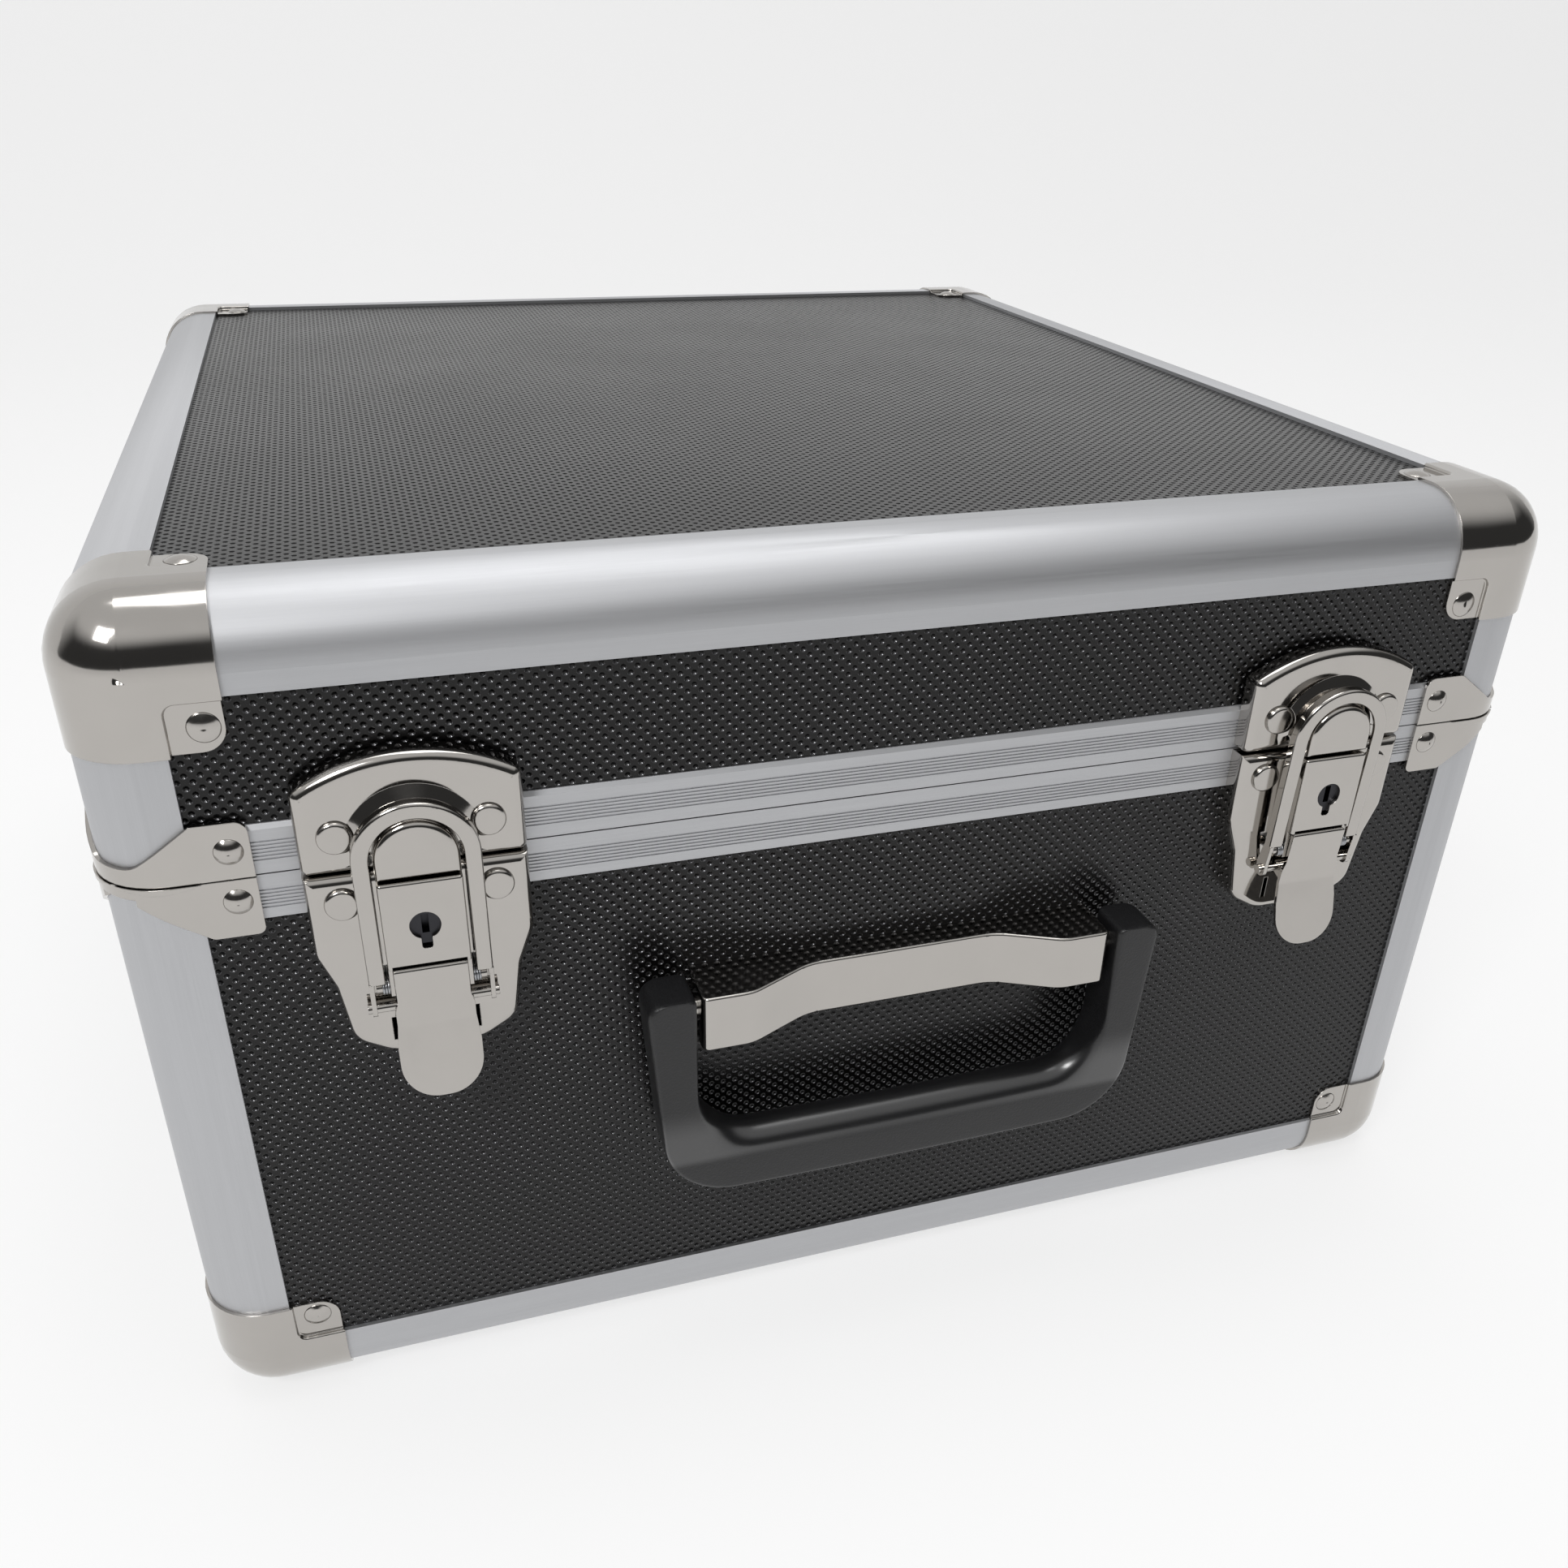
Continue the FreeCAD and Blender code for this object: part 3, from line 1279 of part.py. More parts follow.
def latch_bail(side):
    """The draw loop: a front flange and an outer rim round an arch, with ears on the lever's pin."""
    body = new_body(f"latch_bail_{side}")
    half, sheet, front = size.bail_half, size.bail_sheet, size.bail_front
    rim = new_sketch(body, "XZ_Plane", front - size.bail_rim_depth)
    arch(rim, size.bail_flange_start - 2.0, size.bail_arch, half, half - sheet)
    pad(body, rim, size.bail_rim_depth)
    flange = new_sketch(body, "XZ_Plane", front - sheet)
    arch(flange, size.bail_flange_start, size.bail_arch, half, size.bail_inner_half)
    pad(body, flange, sheet)

    def rim_edge(outer):
        middle = (half.value + size.bail_inner_half.value) / 2

        def wanted(edge):
            far = max(abs(edge.BoundBox.XMin), abs(edge.BoundBox.XMax))
            return is_on_face(edge, front.value) and edge.Length > sheet.value * 4 and (far > middle) == outer
        return wanted

    soften(body, size.bail_inner_round, rim_edge(False))
    soften(body, size.bail_outer_round, rim_edge(True))
    ears = new_sketch(body, "YZ_Plane")
    ear = size.bail_ear_radius
    ear_round = ear * 0.95
    outline(ears, [(ear, -ear, ear_round), (ear, ear), (size.bail_rim_depth - front, size.bail_flange_start),
                   (-front, size.bail_flange_start), (-ear, ear), (-ear, -ear, ear_round)])
    pad(body, ears, half * 2, midplane=True)
    between = new_sketch(body, "YZ_Plane")
    outline(between, [(ear + 1.0, -ear - 1.0), (ear + 1.0, size.bail_flange_start),
                      (-ear - 2.0, size.bail_flange_start), (-ear - 2.0, -ear - 1.0)])
    pocket(body, between, (half - sheet) * 2, midplane=True)
    bore = new_sketch(body, "YZ_Plane")
    circle(bore, 0.0, 0.0, size.pin_radius + size.pin_clear)
    pocket(body, bore, half * 4, midplane=True)
    offset = -latch_offset if side == "left" else latch_offset
    place(body, offset, front_y - size.bail_pivot_out, floor_z + down(size.bail_pivot_drop),
          Turn(Vec(1, 0, 0), SIZES["bail_tilt"]))
    return body


def make_latches():
    """Both latches."""
    nodes, bodies, springs, pins = [], [], [], []
    for side in ("left", "right"):
        nodes += [latch_strike(side), latch_base_plate(side), lock_housing(side), lock_plug(side),
                  latch_lever(side), latch_bail(side),
                  cross_pin(f"bail_pin_{side}", side, size.bail_pivot_out, size.bail_pivot_drop,
                            size.bail_pin_half)]
        bodies.append(lock_body(side))
        springs += latch_spring(side)
        pins.append(cross_pin(f"fulcrum_pin_{side}", side, size.fulcrum_out, size.fulcrum_drop,
                              size.fulcrum_pin_half))
    nodes += [group("lock_bodies", bodies), group("latch_fulcrum_pins", pins),
              feature("latch_springs", Part.makeCompound(springs))]
    return nodes


# Handle
def handle_cover():
    """The chrome cover between the handle's arms: deep at its ends, shallow in the middle."""
    body = new_body("handle_cover")
    wall, sheet = size.rail_wall, size.cover_sheet

    def plan(edge):
        half = size.cover_half - edge
        deep, shallow = size.cover_end_out - edge, size.cover_middle_out - edge
        flat, middle = size.cover_end_flat, size.cover_middle_flat
        back = wall + edge
        return [(-half, back), (-half, -deep, 2.5), (-flat, -deep, 14.0), (-middle, -shallow, 20.0),
                (middle, -shallow, 20.0), (flat, -deep, 14.0), (half, -deep, 2.5), (half, back)]

    sketch = new_sketch(body, "XY_Plane", down(size.cover_bottom_drop))
    outline(sketch, plan(length(0.0)))
    pad(body, sketch, down(size.cover_top_drop) - down(size.cover_bottom_drop))

    def front_rim(edge):
        box_of = edge.BoundBox
        return box_of.ZLength < 1e-4 and box_of.YMin < -SIZES["cover_middle_out"] + 0.1

    soften(body, length(0.9), front_rim)
    inside = new_sketch(body, "XY_Plane", down(size.cover_bottom_drop) + sheet)
    outline(inside, plan(sheet))
    pocket(body, inside, down(size.cover_top_drop) - down(size.cover_bottom_drop) - sheet * 2)
    for start in (-(size.cover_half + sheet), size.cover_half - sheet * 2):
        bore = new_sketch(body, "YZ_Plane", start)
        circle(bore, -size.handle_pivot_out, down(size.handle_pivot_drop), size.handle_pin_radius + size.pin_clear)
        pocket(body, bore, sheet * 3)
    place(body, 0.0, front_y, floor_z)
    return body


def handle_grip():
    """The moulded carrying handle: a bar with two arms that turn on the end pins."""
    body = new_body("handle_grip")
    half, inner = size.grip_half, size.grip_inner_half
    top, bottom, floor = down(size.grip_top_drop), down(size.grip_bottom_drop), down(size.grip_inner_drop)
    sketch = new_sketch(body, "XZ_Plane", size.grip_back)
    wide, inner_wide = size.grip_top_half, size.grip_inner_top_half
    outline(sketch, [
        (-half, bottom, size.grip_outer_radius), (half, bottom, size.grip_outer_radius),
        (wide, top, size.grip_hub_radius), (inner_wide, top, size.grip_hub_radius),
        (inner, floor, size.grip_inner_radius), (-inner, floor, size.grip_inner_radius),
        (-inner_wide, top, size.grip_hub_radius), (-wide, top, size.grip_hub_radius)])
    pad(body, sketch, size.grip_front - size.grip_back)

    def front_or_back(edge):
        return is_on_face(edge, SIZES["grip_front"]) or is_on_face(edge, SIZES["grip_back"])

    soften(body, size.grip_edge_radius, front_or_back)
    bore = new_sketch(body, "YZ_Plane")
    circle(bore, -size.handle_pivot_out, down(size.handle_pivot_drop), size.handle_pin_radius + size.pin_clear)
    pocket(body, bore, size.handle_pin_end * 2 + 1.0, midplane=True)
    place(body, 0.0, front_y, floor_z)
    return body


def make_handle():
    """The carrying handle with its cover, pins and the plate behind the board."""
    pins = []
    for side, sign in (("left", -1), ("right", 1)):
        body = new_body(f"handle_pin_{side}")
        sketch = new_sketch(body, "YZ_Plane")
        circle(sketch, -size.handle_pivot_out, down(size.handle_pivot_drop), size.handle_pin_radius)
        pad(body, sketch, size.handle_pin_end - size.handle_pin_start, midplane=True)
        place(body, (size.handle_pin_start + size.handle_pin_end) / 2 * sign, front_y, floor_z)
        pins.append(body)
    backing = box("handle_backing_plate",
                  (-size.backing_half, front_y + slot_out, floor_z + down(size.backing_bottom_drop)),
                  (size.backing_half * 2, size.rail_inner_wall, down(size.backing_top_drop) - down(size.backing_bottom_drop)))
    return [handle_cover(), handle_grip(), group("handle_pivot_pins", pins), backing]


# Rear hinges, drawn with the hinge axis at the origin and +Y away from the case
def hinge_knuckles(lid):
    """Start and end of each knuckle along the pin."""
    whole = size.hinge_half * 2
    step = whole / 5
    numbers = (1, 3) if lid else (0, 2, 4)
    gap = size.hinge_gap / 2
    for number in numbers:
        start = step * number - size.hinge_half
        yield start + gap, start + step - gap


def hinge_leaf(label, side, lid):
    """One leaf of a rear hinge with its knuckles; the base leaf also has the two stop gussets."""
    body = new_body(label)
    axis_in, leaf, half = size.hinge_axis_out, size.hinge_leaf, size.hinge_half
    notch, radius = size.hinge_notch, size.hinge_knuckle_radius
    sign = 1 if lid else -1
    far = (size.hinge_lid_height if lid else size.hinge_base_height) * sign
    near = notch * sign
    plate = new_sketch(body, "YZ_Plane")
    low, high = (near, far) if lid else (far, near)
    outline(plate, [(-axis_in, low), (leaf - axis_in, low), (leaf - axis_in, high), (-axis_in, high)])
    pad(body, plate, half * 2, midplane=True)
    root = size.parting_gap * 0.5 * sign
    for start, end in hinge_knuckles(lid):
        tube = new_sketch(body, "YZ_Plane", start)
        circle(tube, 0.0, 0.0, radius)
        pad(body, tube, end - start)
        strap = new_sketch(body, "YZ_Plane", start)
        low, high = (root, near + 0.5) if lid else (near - 0.5, root)
        outline(strap, [(-axis_in, low), (-0.5, low), (leaf - axis_in, high), (-axis_in, high)]
                if lid else [(-axis_in, low), (leaf - axis_in, low), (-0.5, high), (-axis_in, high)])
        pad(body, strap, end - start)
    if not lid:
        reach, stop_start = size.hinge_stop_reach, size.hinge_stop_start
        angle = math.radians(SIZES["hinge_stop_angle"] - 90)
        stop = axis_in - leaf

        def stop_height(across):
            return stop / math.cos(angle) - across * math.tan(angle) - 0.02

        for place_sign in (-1, 1):
            start = half - size.hinge_gusset_in - size.hinge_gusset if place_sign > 0 else size.hinge_gusset_in - half
            gusset = new_sketch(body, "YZ_Plane", start)
            outline(gusset, [(leaf - axis_in - 0.5, far), (reach, -1.0), (reach, stop_height(reach)),
                             (stop_start, stop_height(stop_start)), (stop_start - 0.6, -0.5),
                             (leaf - axis_in - 0.5, -notch)])
            pad(body, gusset, size.hinge_gusset)
    bore = new_sketch(body, "YZ_Plane")
    circle(bore, 0.0, 0.0, size.hinge_pin_radius + size.pin_clear)
    pocket(body, bore, half * 2 + 2.0, midplane=True)
    place(body, (-hinge_offset if side == "left" else hinge_offset), rear_y + axis_in, parting_z)
    return body


def make_hinges():
    """Two stop hinges on the rear closing rails."""
    base = [hinge_leaf(f"base_leaf_{side}", side, False) for side in ("left", "right")]
    lid = [hinge_leaf(f"lid_leaf_{side}", side, True) for side in ("left", "right")]
    pins = []
    for side, sign in (("left", -1), ("right", 1)):
        body = new_body(f"hinge_pin_{side}")
        sketch = new_sketch(body, "YZ_Plane")
        circle(sketch, 0.0, 0.0, size.hinge_pin_radius)
        pad(body, sketch, size.hinge_half * 2, midplane=True)
        place(body, hinge_offset * sign, rear_y + size.hinge_axis_out, parting_z)
        pins.append(body)
    return [group("hinge_base_leaves", base), group("hinge_lid_leaves", lid), group("hinge_pins", pins)]


def check_and_export(nodes):
    """Stop on any failed object or bad shape, then write one STEP file for each node."""
    doc.recompute()
    for item in doc.Objects:
        if "Invalid" in item.State or "Error" in item.State:
            raise RuntimeError(f"{item.Label} did not compute: {item.State}")
    for node in nodes:
        if node.Shape.isNull() or not node.Shape.isValid() or not node.Shape.Solids:
            raise RuntimeError(f"{node.Label} has no valid solid")
    os.makedirs("parts", exist_ok=True)
    for node in nodes:
        node.Shape.exportStep(f"parts/{node.Label}.step")
        print(f"{node.Label}: {len(node.Shape.Solids)} solids, {node.Shape.Volume / 1000:.2f} cm3")
    print(f"{len(nodes)} nodes")


def main():
    nodes = make_frame() + make_boards() + make_lining() + make_corners() + make_rivets()
    nodes += make_latches() + make_handle() + make_hinges()
    check_and_export(nodes)


main()
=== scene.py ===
"""The looks of a boxy accordion case with aluminium rails, chrome corners, draw latches and a grip."""

import math

import bmesh
import bpy
from bpy.props import FloatProperty, FloatVectorProperty, PointerProperty
from bpy.types import Operator, Panel, PropertyGroup
from mathutils import Matrix, Vector, noise


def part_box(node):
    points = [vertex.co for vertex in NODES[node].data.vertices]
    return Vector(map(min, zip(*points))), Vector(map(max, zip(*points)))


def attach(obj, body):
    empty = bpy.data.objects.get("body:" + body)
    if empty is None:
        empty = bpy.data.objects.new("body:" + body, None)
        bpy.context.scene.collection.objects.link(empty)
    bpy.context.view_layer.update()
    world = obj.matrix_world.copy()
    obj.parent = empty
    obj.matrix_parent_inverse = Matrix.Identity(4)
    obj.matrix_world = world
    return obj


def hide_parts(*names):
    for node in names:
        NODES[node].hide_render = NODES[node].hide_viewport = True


bl_info = {
    "name": "Accordion case looks",
    "version": (1, 0, 0),
    "blender": (4, 5, 0),
    "location": "3D View > Sidebar > Case",
    "description": "Finishes and soft pieces for an accordion case",
    "category": "Object",
}

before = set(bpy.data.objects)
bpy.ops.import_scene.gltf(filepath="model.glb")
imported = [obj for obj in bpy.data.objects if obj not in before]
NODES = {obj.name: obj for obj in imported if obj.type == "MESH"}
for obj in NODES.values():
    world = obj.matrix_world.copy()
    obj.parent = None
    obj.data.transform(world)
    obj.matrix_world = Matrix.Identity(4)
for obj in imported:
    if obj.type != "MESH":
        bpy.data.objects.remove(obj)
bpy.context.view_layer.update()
MM = 0.001

GRIP_LOW, GRIP_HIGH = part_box("handle_grip")


# Node trees written as expressions
class Value:
    """A socket of a finish that can stand in a Python expression."""

    def __init__(self, finish, socket):
        self.finish = finish
        self.socket = socket

    def math(self, operation, *others):
        values = dict(enumerate((self, *others)))
        return self.finish.node("ShaderNodeMath", {"operation": operation}, values)

    def __add__(self, other):
        return self.math("ADD", other)

    def __radd__(self, other):
        return self.math("ADD", other)

    def __sub__(self, other):
        return self.math("SUBTRACT", other)

    def __rsub__(self, other):
        return self.finish.node("ShaderNodeMath", {"operation": "SUBTRACT"}, {0: other, 1: self})

    def __mul__(self, other):
        return self.math("MULTIPLY", other)

    def __rmul__(self, other):
        return self.math("MULTIPLY", other)

    def __truediv__(self, other):
        return self.math("DIVIDE", other)

    def __mod__(self, other):
        return self.math("FLOORED_MODULO", other)

    def __gt__(self, other):
        return self.math("GREATER_THAN", other)

    def __abs__(self):
        return self.math("ABSOLUTE")

    def floor(self):
        return self.math("FLOOR")

    def fraction(self):
        return self.math("FRACT")

    def least(self, other):
        return self.math("MINIMUM", other)

    def most(self, other):
        return self.math("MAXIMUM", other)

    def root(self):
        return self.math("SQRT")

    def rise(self, low, high):
        """0 below low, 1 above high, with an easy slope between them."""
        settings = {"interpolation_type": "SMOOTHSTEP"}
        return self.finish.node("ShaderNodeMapRange", settings, {0: self, 1: low, 2: high})


class Finish:
    """One procedural material, with the node tree that its expressions grow."""

    def __init__(self, name):
        self.material = bpy.data.materials.new(name)
        self.material.use_nodes = True
        self.tree = self.material.node_tree
        self.shader = self.tree.nodes["Principled BSDF"]

    def node(self, kind, settings, values, output=0):
        """Any node: its settings are set first, then the values or links of its sockets."""
        made = self.tree.nodes.new(kind)
        for name, setting in settings.items():
            if name == "stops":
                ramp = made.color_ramp.elements
                while len(ramp) < len(setting):
                    ramp.new(0.5)
                for stop, (place, colour) in zip(ramp, setting):
                    stop.position = place
                    stop.color = colour
            else:
                setattr(made, name, setting)
        for key, value in values.items():
            self.link(made.inputs[key], value)
        return Value(self, made.outputs[output])

    def link(self, socket, value):
        if isinstance(value, Value):
            self.tree.links.new(value.socket, socket)
        elif isinstance(value, (tuple, list)) and len(value) == 3 and socket.type == "RGBA":
            socket.default_value = (*value, 1.0)
        else:
            socket.default_value = value

    def split(self, vector):
        """The three parts of a vector."""
        made = self.node("ShaderNodeSeparateXYZ", {}, {0: vector})
        outputs = made.socket.node.outputs
        return [Value(self, outputs[number]) for number in range(3)]

    def join(self, x, y, z):
        return self.node("ShaderNodeCombineXYZ", {}, {0: x, 1: y, 2: z})

    def place(self):
        """The point on the piece, in metres in the frame at rest."""
        return self.node("ShaderNodeTexCoord", {}, {}, "Object")

    def facing(self):
        """The way the surface faces, in the frame at rest."""
        return self.node("ShaderNodeTexCoord", {}, {}, "Normal")

    def stretch(self, vector, amounts):
        settings = {"operation": "MULTIPLY"}
        return self.node("ShaderNodeVectorMath", settings, {0: vector, 1: amounts})

    def cloud(self, vector, per_metre, detail=3.0, rough=0.5):
        """Noise with so many lumps in a metre."""
        values = {"Vector": vector, "Scale": per_metre, "Detail": detail, "Roughness": rough}
        return self.node("ShaderNodeTexNoise", {}, values)

    def pits(self, across, up, skin):
        """Round bowls on an oblong grid: 1 at the bottom of a bowl and 0 outside it, and the place up its walls."""
        off_across = ((across / skin.pit_across).fraction() - 0.5) * skin.pit_across
        off_up = ((up / (2 * skin.pit_rows)).fraction() - 0.5) * (2 * skin.pit_rows)
        reach = (off_across * off_across + off_up * off_up).root()
        bowl = 1.0 - reach.rise(0.08 * skin.pit_width, 0.5 * skin.pit_width)
        return bowl, off_up / (0.5 * skin.pit_width) * (bowl > 0.0)

    def mix(self, share, first, second):
        """A colour between two colours."""
        settings = {"data_type": "RGBA"}
        return self.node("ShaderNodeMix", settings, {0: share, 6: first, 7: second}, 2)

    def worn_edges(self, radius):
        """The way the surface faces, with every sharp edge rounded off by a radius."""
        return self.node("ShaderNodeBevel", {"samples": 6}, {"Radius": radius})

    def bump(self, height, metres, below=None):
        values = {"Height": height, "Distance": metres}
        if below is not None:
            values["Normal"] = below
        return self.node("ShaderNodeBump", {}, values)

    def surface(self, **values):
        """Set or link the shader's own sockets; an underscore in a name stands for a space."""
        for name, value in values.items():
            self.link(self.shader.inputs[name.replace("_", " ").title().replace("Ior", "IOR")], value)
        return self.material


    def painted_pit_shade(self, share):
        """Painted shade: a near-black diffuse mixed in by share, standing in for the shade in hollows too deep for
        light to find its way out again.
        """
        dark = self.node("ShaderNodeBsdfDiffuse", {}, {"Color": (0.001, 0.001, 0.001)})
        both = self.node("ShaderNodeMixShader", {}, {0: share, 1: Value(self, self.shader.outputs[0]), 2: dark})
        self.link(self.tree.nodes["Material Output"].inputs["Surface"], both)
        return self.material


def wear(piece, material):
    """Give a piece one material, in all its slots."""
    piece.data.materials.clear()
    piece.data.materials.append(material)


def dress(names, material):
    for name in names:
        wear(NODES[name], material)


# Sizes and colours that a user would change
def colour(name, default, description):
    return FloatVectorProperty(name=name, description=description, default=default, subtype="COLOR",
                               size=3, min=0.0, max=1.0)


def distance(name, default, description):
    return FloatProperty(name=name, description=description, default=default, unit="LENGTH", precision=5)


def amount(name, default, description):
    return FloatProperty(name=name, description=description, default=default, min=0.0, max=1.0,
                         subtype="FACTOR")


class SkinSettings(PropertyGroup):
    colour: colour("Skin", (0.004, 0.0036, 0.0036), "Colour of the moulded skin")
    pit_across: distance("Pit pitch across", 4.0 * MM, "Distance between pits in one row")
    pit_rows: distance("Row pitch", 1.85 * MM, "Distance between one row of pits and the next, staggered one")
    pit_width: distance("Pit width", 2.0 * MM, "Width of one round pit at its rim")
    pit_depth: distance("Pit depth", 0.62 * MM, "Depth of one pit")
    # Painted glint: colour of the metallic lower walls of the pits, which face the light above and so show bright
    # glints
    painted_pit_glint: colour("Pit gloss", (0.13, 0.13, 0.135), "Colour that the polished lower walls of the pits mirror")
    roughness: amount("Roughness", 0.22, "Roughness between the pits")


class MetalSettings(PropertyGroup):
    aluminium: colour("Aluminium", (0.57, 0.575, 0.59), "Colour of the anodised rails")
    rail_roughness: amount("Rail roughness", 0.57, "Roughness of the anodised rails")
    chrome: colour("Chrome", (0.46, 0.44, 0.415), "Colour of the nickel and chrome plated pieces")
    chrome_roughness: amount("Chrome roughness", 0.075, "Roughness of the plated pieces")
    edge: distance("Edge", 0.35 * MM, "Radius that worn sharp edges of pressed steel show")
    zinc: colour("Zinc", (0.56, 0.58, 0.60), "Colour of the zinc plated pieces")


class GripSettings(PropertyGroup):
    colour: colour("Grip", (0.011, 0.011, 0.012), "Colour of the moulded grip")
    half: distance("Half width", 83.0 * MM, "Half width over the bar's corners")
    top_half: distance("Top half width", 87.0 * MM, "Half width over the arms' tops")
    inner_half: distance("Inner half width", 71.5 * MM, "Half width between the arms")
    corner: distance("Outer corner", 24.0 * MM, "Radius of the outer corners")
    inner_corner: distance("Inner corner", 21.0 * MM, "Radius of the inner corners")
    bar_height: distance("Bar height", 21.5 * MM, "Height of the bar's section")
    bar_round: distance("Bar round", 9.0 * MM, "Radius of the bar's inner edges")
    edge: distance("Edge", 1.6 * MM, "Radius of the other edges")


class SoftSettings(PropertyGroup):
    colour: colour("Plush", (0.020, 0.020, 0.023), "Colour of the plush")
    roll: distance("Rolled edge", 3.0 * MM, "Width of the rolled edge of each lining")


class StageSettings(PropertyGroup):
    floor: colour("Floor", (0.90, 0.90, 0.90), "Colour of the floor and backdrop")
    top_light: FloatProperty(name="Top light", description="Power of the light above", default=13.0)
    window_light: FloatProperty(name="Window light", description="Power of the light at the front left",
                                default=19.0)
    room: FloatProperty(name="Room", description="Strength of the light from the room above", default=0.70)


class CaseLooks(PropertyGroup):
    skin: PointerProperty(type=SkinSettings)
    metal: PointerProperty(type=MetalSettings)
    grip: PointerProperty(type=GripSettings)
    soft: PointerProperty(type=SoftSettings)
    stage: PointerProperty(type=StageSettings)


def looks():
    return bpy.context.scene.case_looks


# Finishes
def skin_finish():
    """Black moulded skin: staggered round pits, a fine grain between them and small gloss changes, with painted
    glints on the lower walls of the pits and painted shade in the pits.
    """
    skin = looks().skin
    finish = Finish("embossed_skin_finish")
    x, y, z = finish.split(finish.place())
    faces_x, _, faces_z = finish.split(finish.facing())
    on_side = abs(faces_x) > 0.5
    on_top = abs(faces_z) > 0.5
    across = x + (y - x) * on_side
    up = z + (y - z) * on_top
    straight, straight_wall = finish.pits(across, up, skin)
    staggered, staggered_wall = finish.pits(across + skin.pit_across / 2, up + skin.pit_rows, skin)
    pit = straight.most(staggered)
    wall = straight_wall + staggered_wall
    # Painted shade: the upper half of each pit's wall on the upright faces, which faces down away from the light,
    # and most of each pit on the top
    painted_shade_roof = wall.rise(-0.15, 0.45) * (1.0 - on_top) + on_top * 0.8
    # Painted glint: the lower half of each pit's wall on the upright faces, which faces the light above, is marked
    # to be made metallic
    painted_glint_sill = (wall * -1.0).rise(0.1, 0.5) * (1.0 - on_top)
    grain = finish.cloud(finish.place(), 2600.0, 2.0)
    broad = finish.cloud(finish.place(), 14.0, 2.0)
    height = grain * 0.06 - pit
    # Painted glint: the pit glint colour and full metallic are laid on the lower pit walls
    base = finish.mix(painted_glint_sill, tuple(skin.colour), tuple(skin.painted_pit_glint))
    finish.surface(
        base_color=base, metallic=painted_glint_sill, roughness=skin.roughness + (broad - 0.5) * 0.10 + grain * 0.06,
        specular_ior_level=0.31, normal=finish.bump(height, skin.pit_depth))
    # Painted shade: the pits are darkened by mixing in a near-black diffuse
    return finish.painted_pit_shade(pit.rise(0.1, 0.6) * painted_shade_roof * 0.9)


def rail_finish(name, along):
    """Satin anodised aluminium, drawn out along one axis: fine die lines, faint scuffs."""
    metal = looks().metal
    finish = Finish(name)
    place = finish.place()
    drawn = finish.stretch(place, tuple(0.012 if axis == along else 1.0 for axis in range(3)))
    lines = finish.cloud(drawn, 2200.0, 3.0, 0.6)
    bands = finish.cloud(drawn, 260.0, 2.0)
    frost = finish.cloud(place, 5200.0, 1.0)
    scuffs = finish.cloud(place, 22.0, 5.0, 0.75).rise(0.60, 0.78)
    tint = finish.mix(bands, tuple(0.93 * part for part in metal.aluminium), tuple(metal.aluminium))
    rough = metal.rail_roughness + (lines - 0.5) * 0.16 + scuffs * 0.05
    height = lines * 0.7 + frost * 0.5
    return finish.surface(base_color=tint, metallic=1.0, roughness=rough, anisotropic=0.35,
                          normal=finish.bump(height, 0.012 * MM))


def chrome_finish(name, roughness, wave):
    """Bright plated pressed steel: slow waves of the pressing, hair scratches, faint haze."""
    metal = looks().metal
    finish = Finish(name)
    place = finish.place()
    haze = finish.cloud(place, 70.0, 4.0, 0.6)
    hairs = finish.cloud(finish.stretch(place, (1.0, 1.0, 0.06)), 1900.0, 2.0).rise(0.62, 0.75)
    slow = finish.cloud(place, 38.0, 1.0)
    tint = finish.mix(haze, tuple(metal.chrome), tuple(0.95 * part for part in metal.chrome))
    rough = roughness + haze.rise(0.45, 0.8) * 0.07 + hairs * 0.05
    return finish.surface(base_color=tint, metallic=1.0, roughness=rough,
                          normal=finish.bump(slow, wave, finish.worn_edges(metal.edge)))


def zinc_finish(name, tint, roughness):
    """Zinc plated steel: a soft crystalline cloud and a fine brushed grain."""
    finish = Finish(name)
    place = finish.place()
    cloud = finish.cloud(place, 240.0, 4.0, 0.65)
    grain = finish.cloud(finish.stretch(place, (0.1, 1.0, 1.0)), 3000.0, 2.0)
    base = finish.mix(cloud, tuple(0.72 * part for part in tint), tuple(tint))
    return finish.surface(base_color=base, metallic=1.0, roughness=roughness + cloud * 0.15,
                          normal=finish.bump(grain, 0.01 * MM))


def grip_finish():
    """Black moulded plastic: fine leather grain, handled smooth and glossy along the inner bar."""
    finish = Finish("moulded_grip_finish")
    place = finish.place()
    _, _, z = finish.split(place)
    low = GRIP_LOW.z
    bar = z.rise(low + 13.0 * MM, low + 16.5 * MM) * (1.0 - z.rise(low + 24.0 * MM, low + 38.0 * MM))
    cells = finish.node("ShaderNodeTexVoronoi", {"feature": "SMOOTH_F1"}, {"Vector": place, "Scale": 1500.0})
    grain = finish.cloud(place, 2400.0, 3.0)
    broad = finish.cloud(place, 30.0, 2.0)
    height = (cells * 0.8 + grain * 0.5) * (1.0 - bar * 0.88)
    rough = 0.42 + (broad - 0.5) * 0.10 - bar * 0.12
    black = tuple(looks().grip.colour)
    base = finish.mix(cells.rise(0.2, 0.9), tuple(0.75 * part for part in black), black)
    return finish.surface(base_color=base, roughness=rough, normal=finish.bump(height, 0.10 * MM),
                          coat_weight=bar * 0.9, coat_roughness=0.24, coat_ior=1.6)


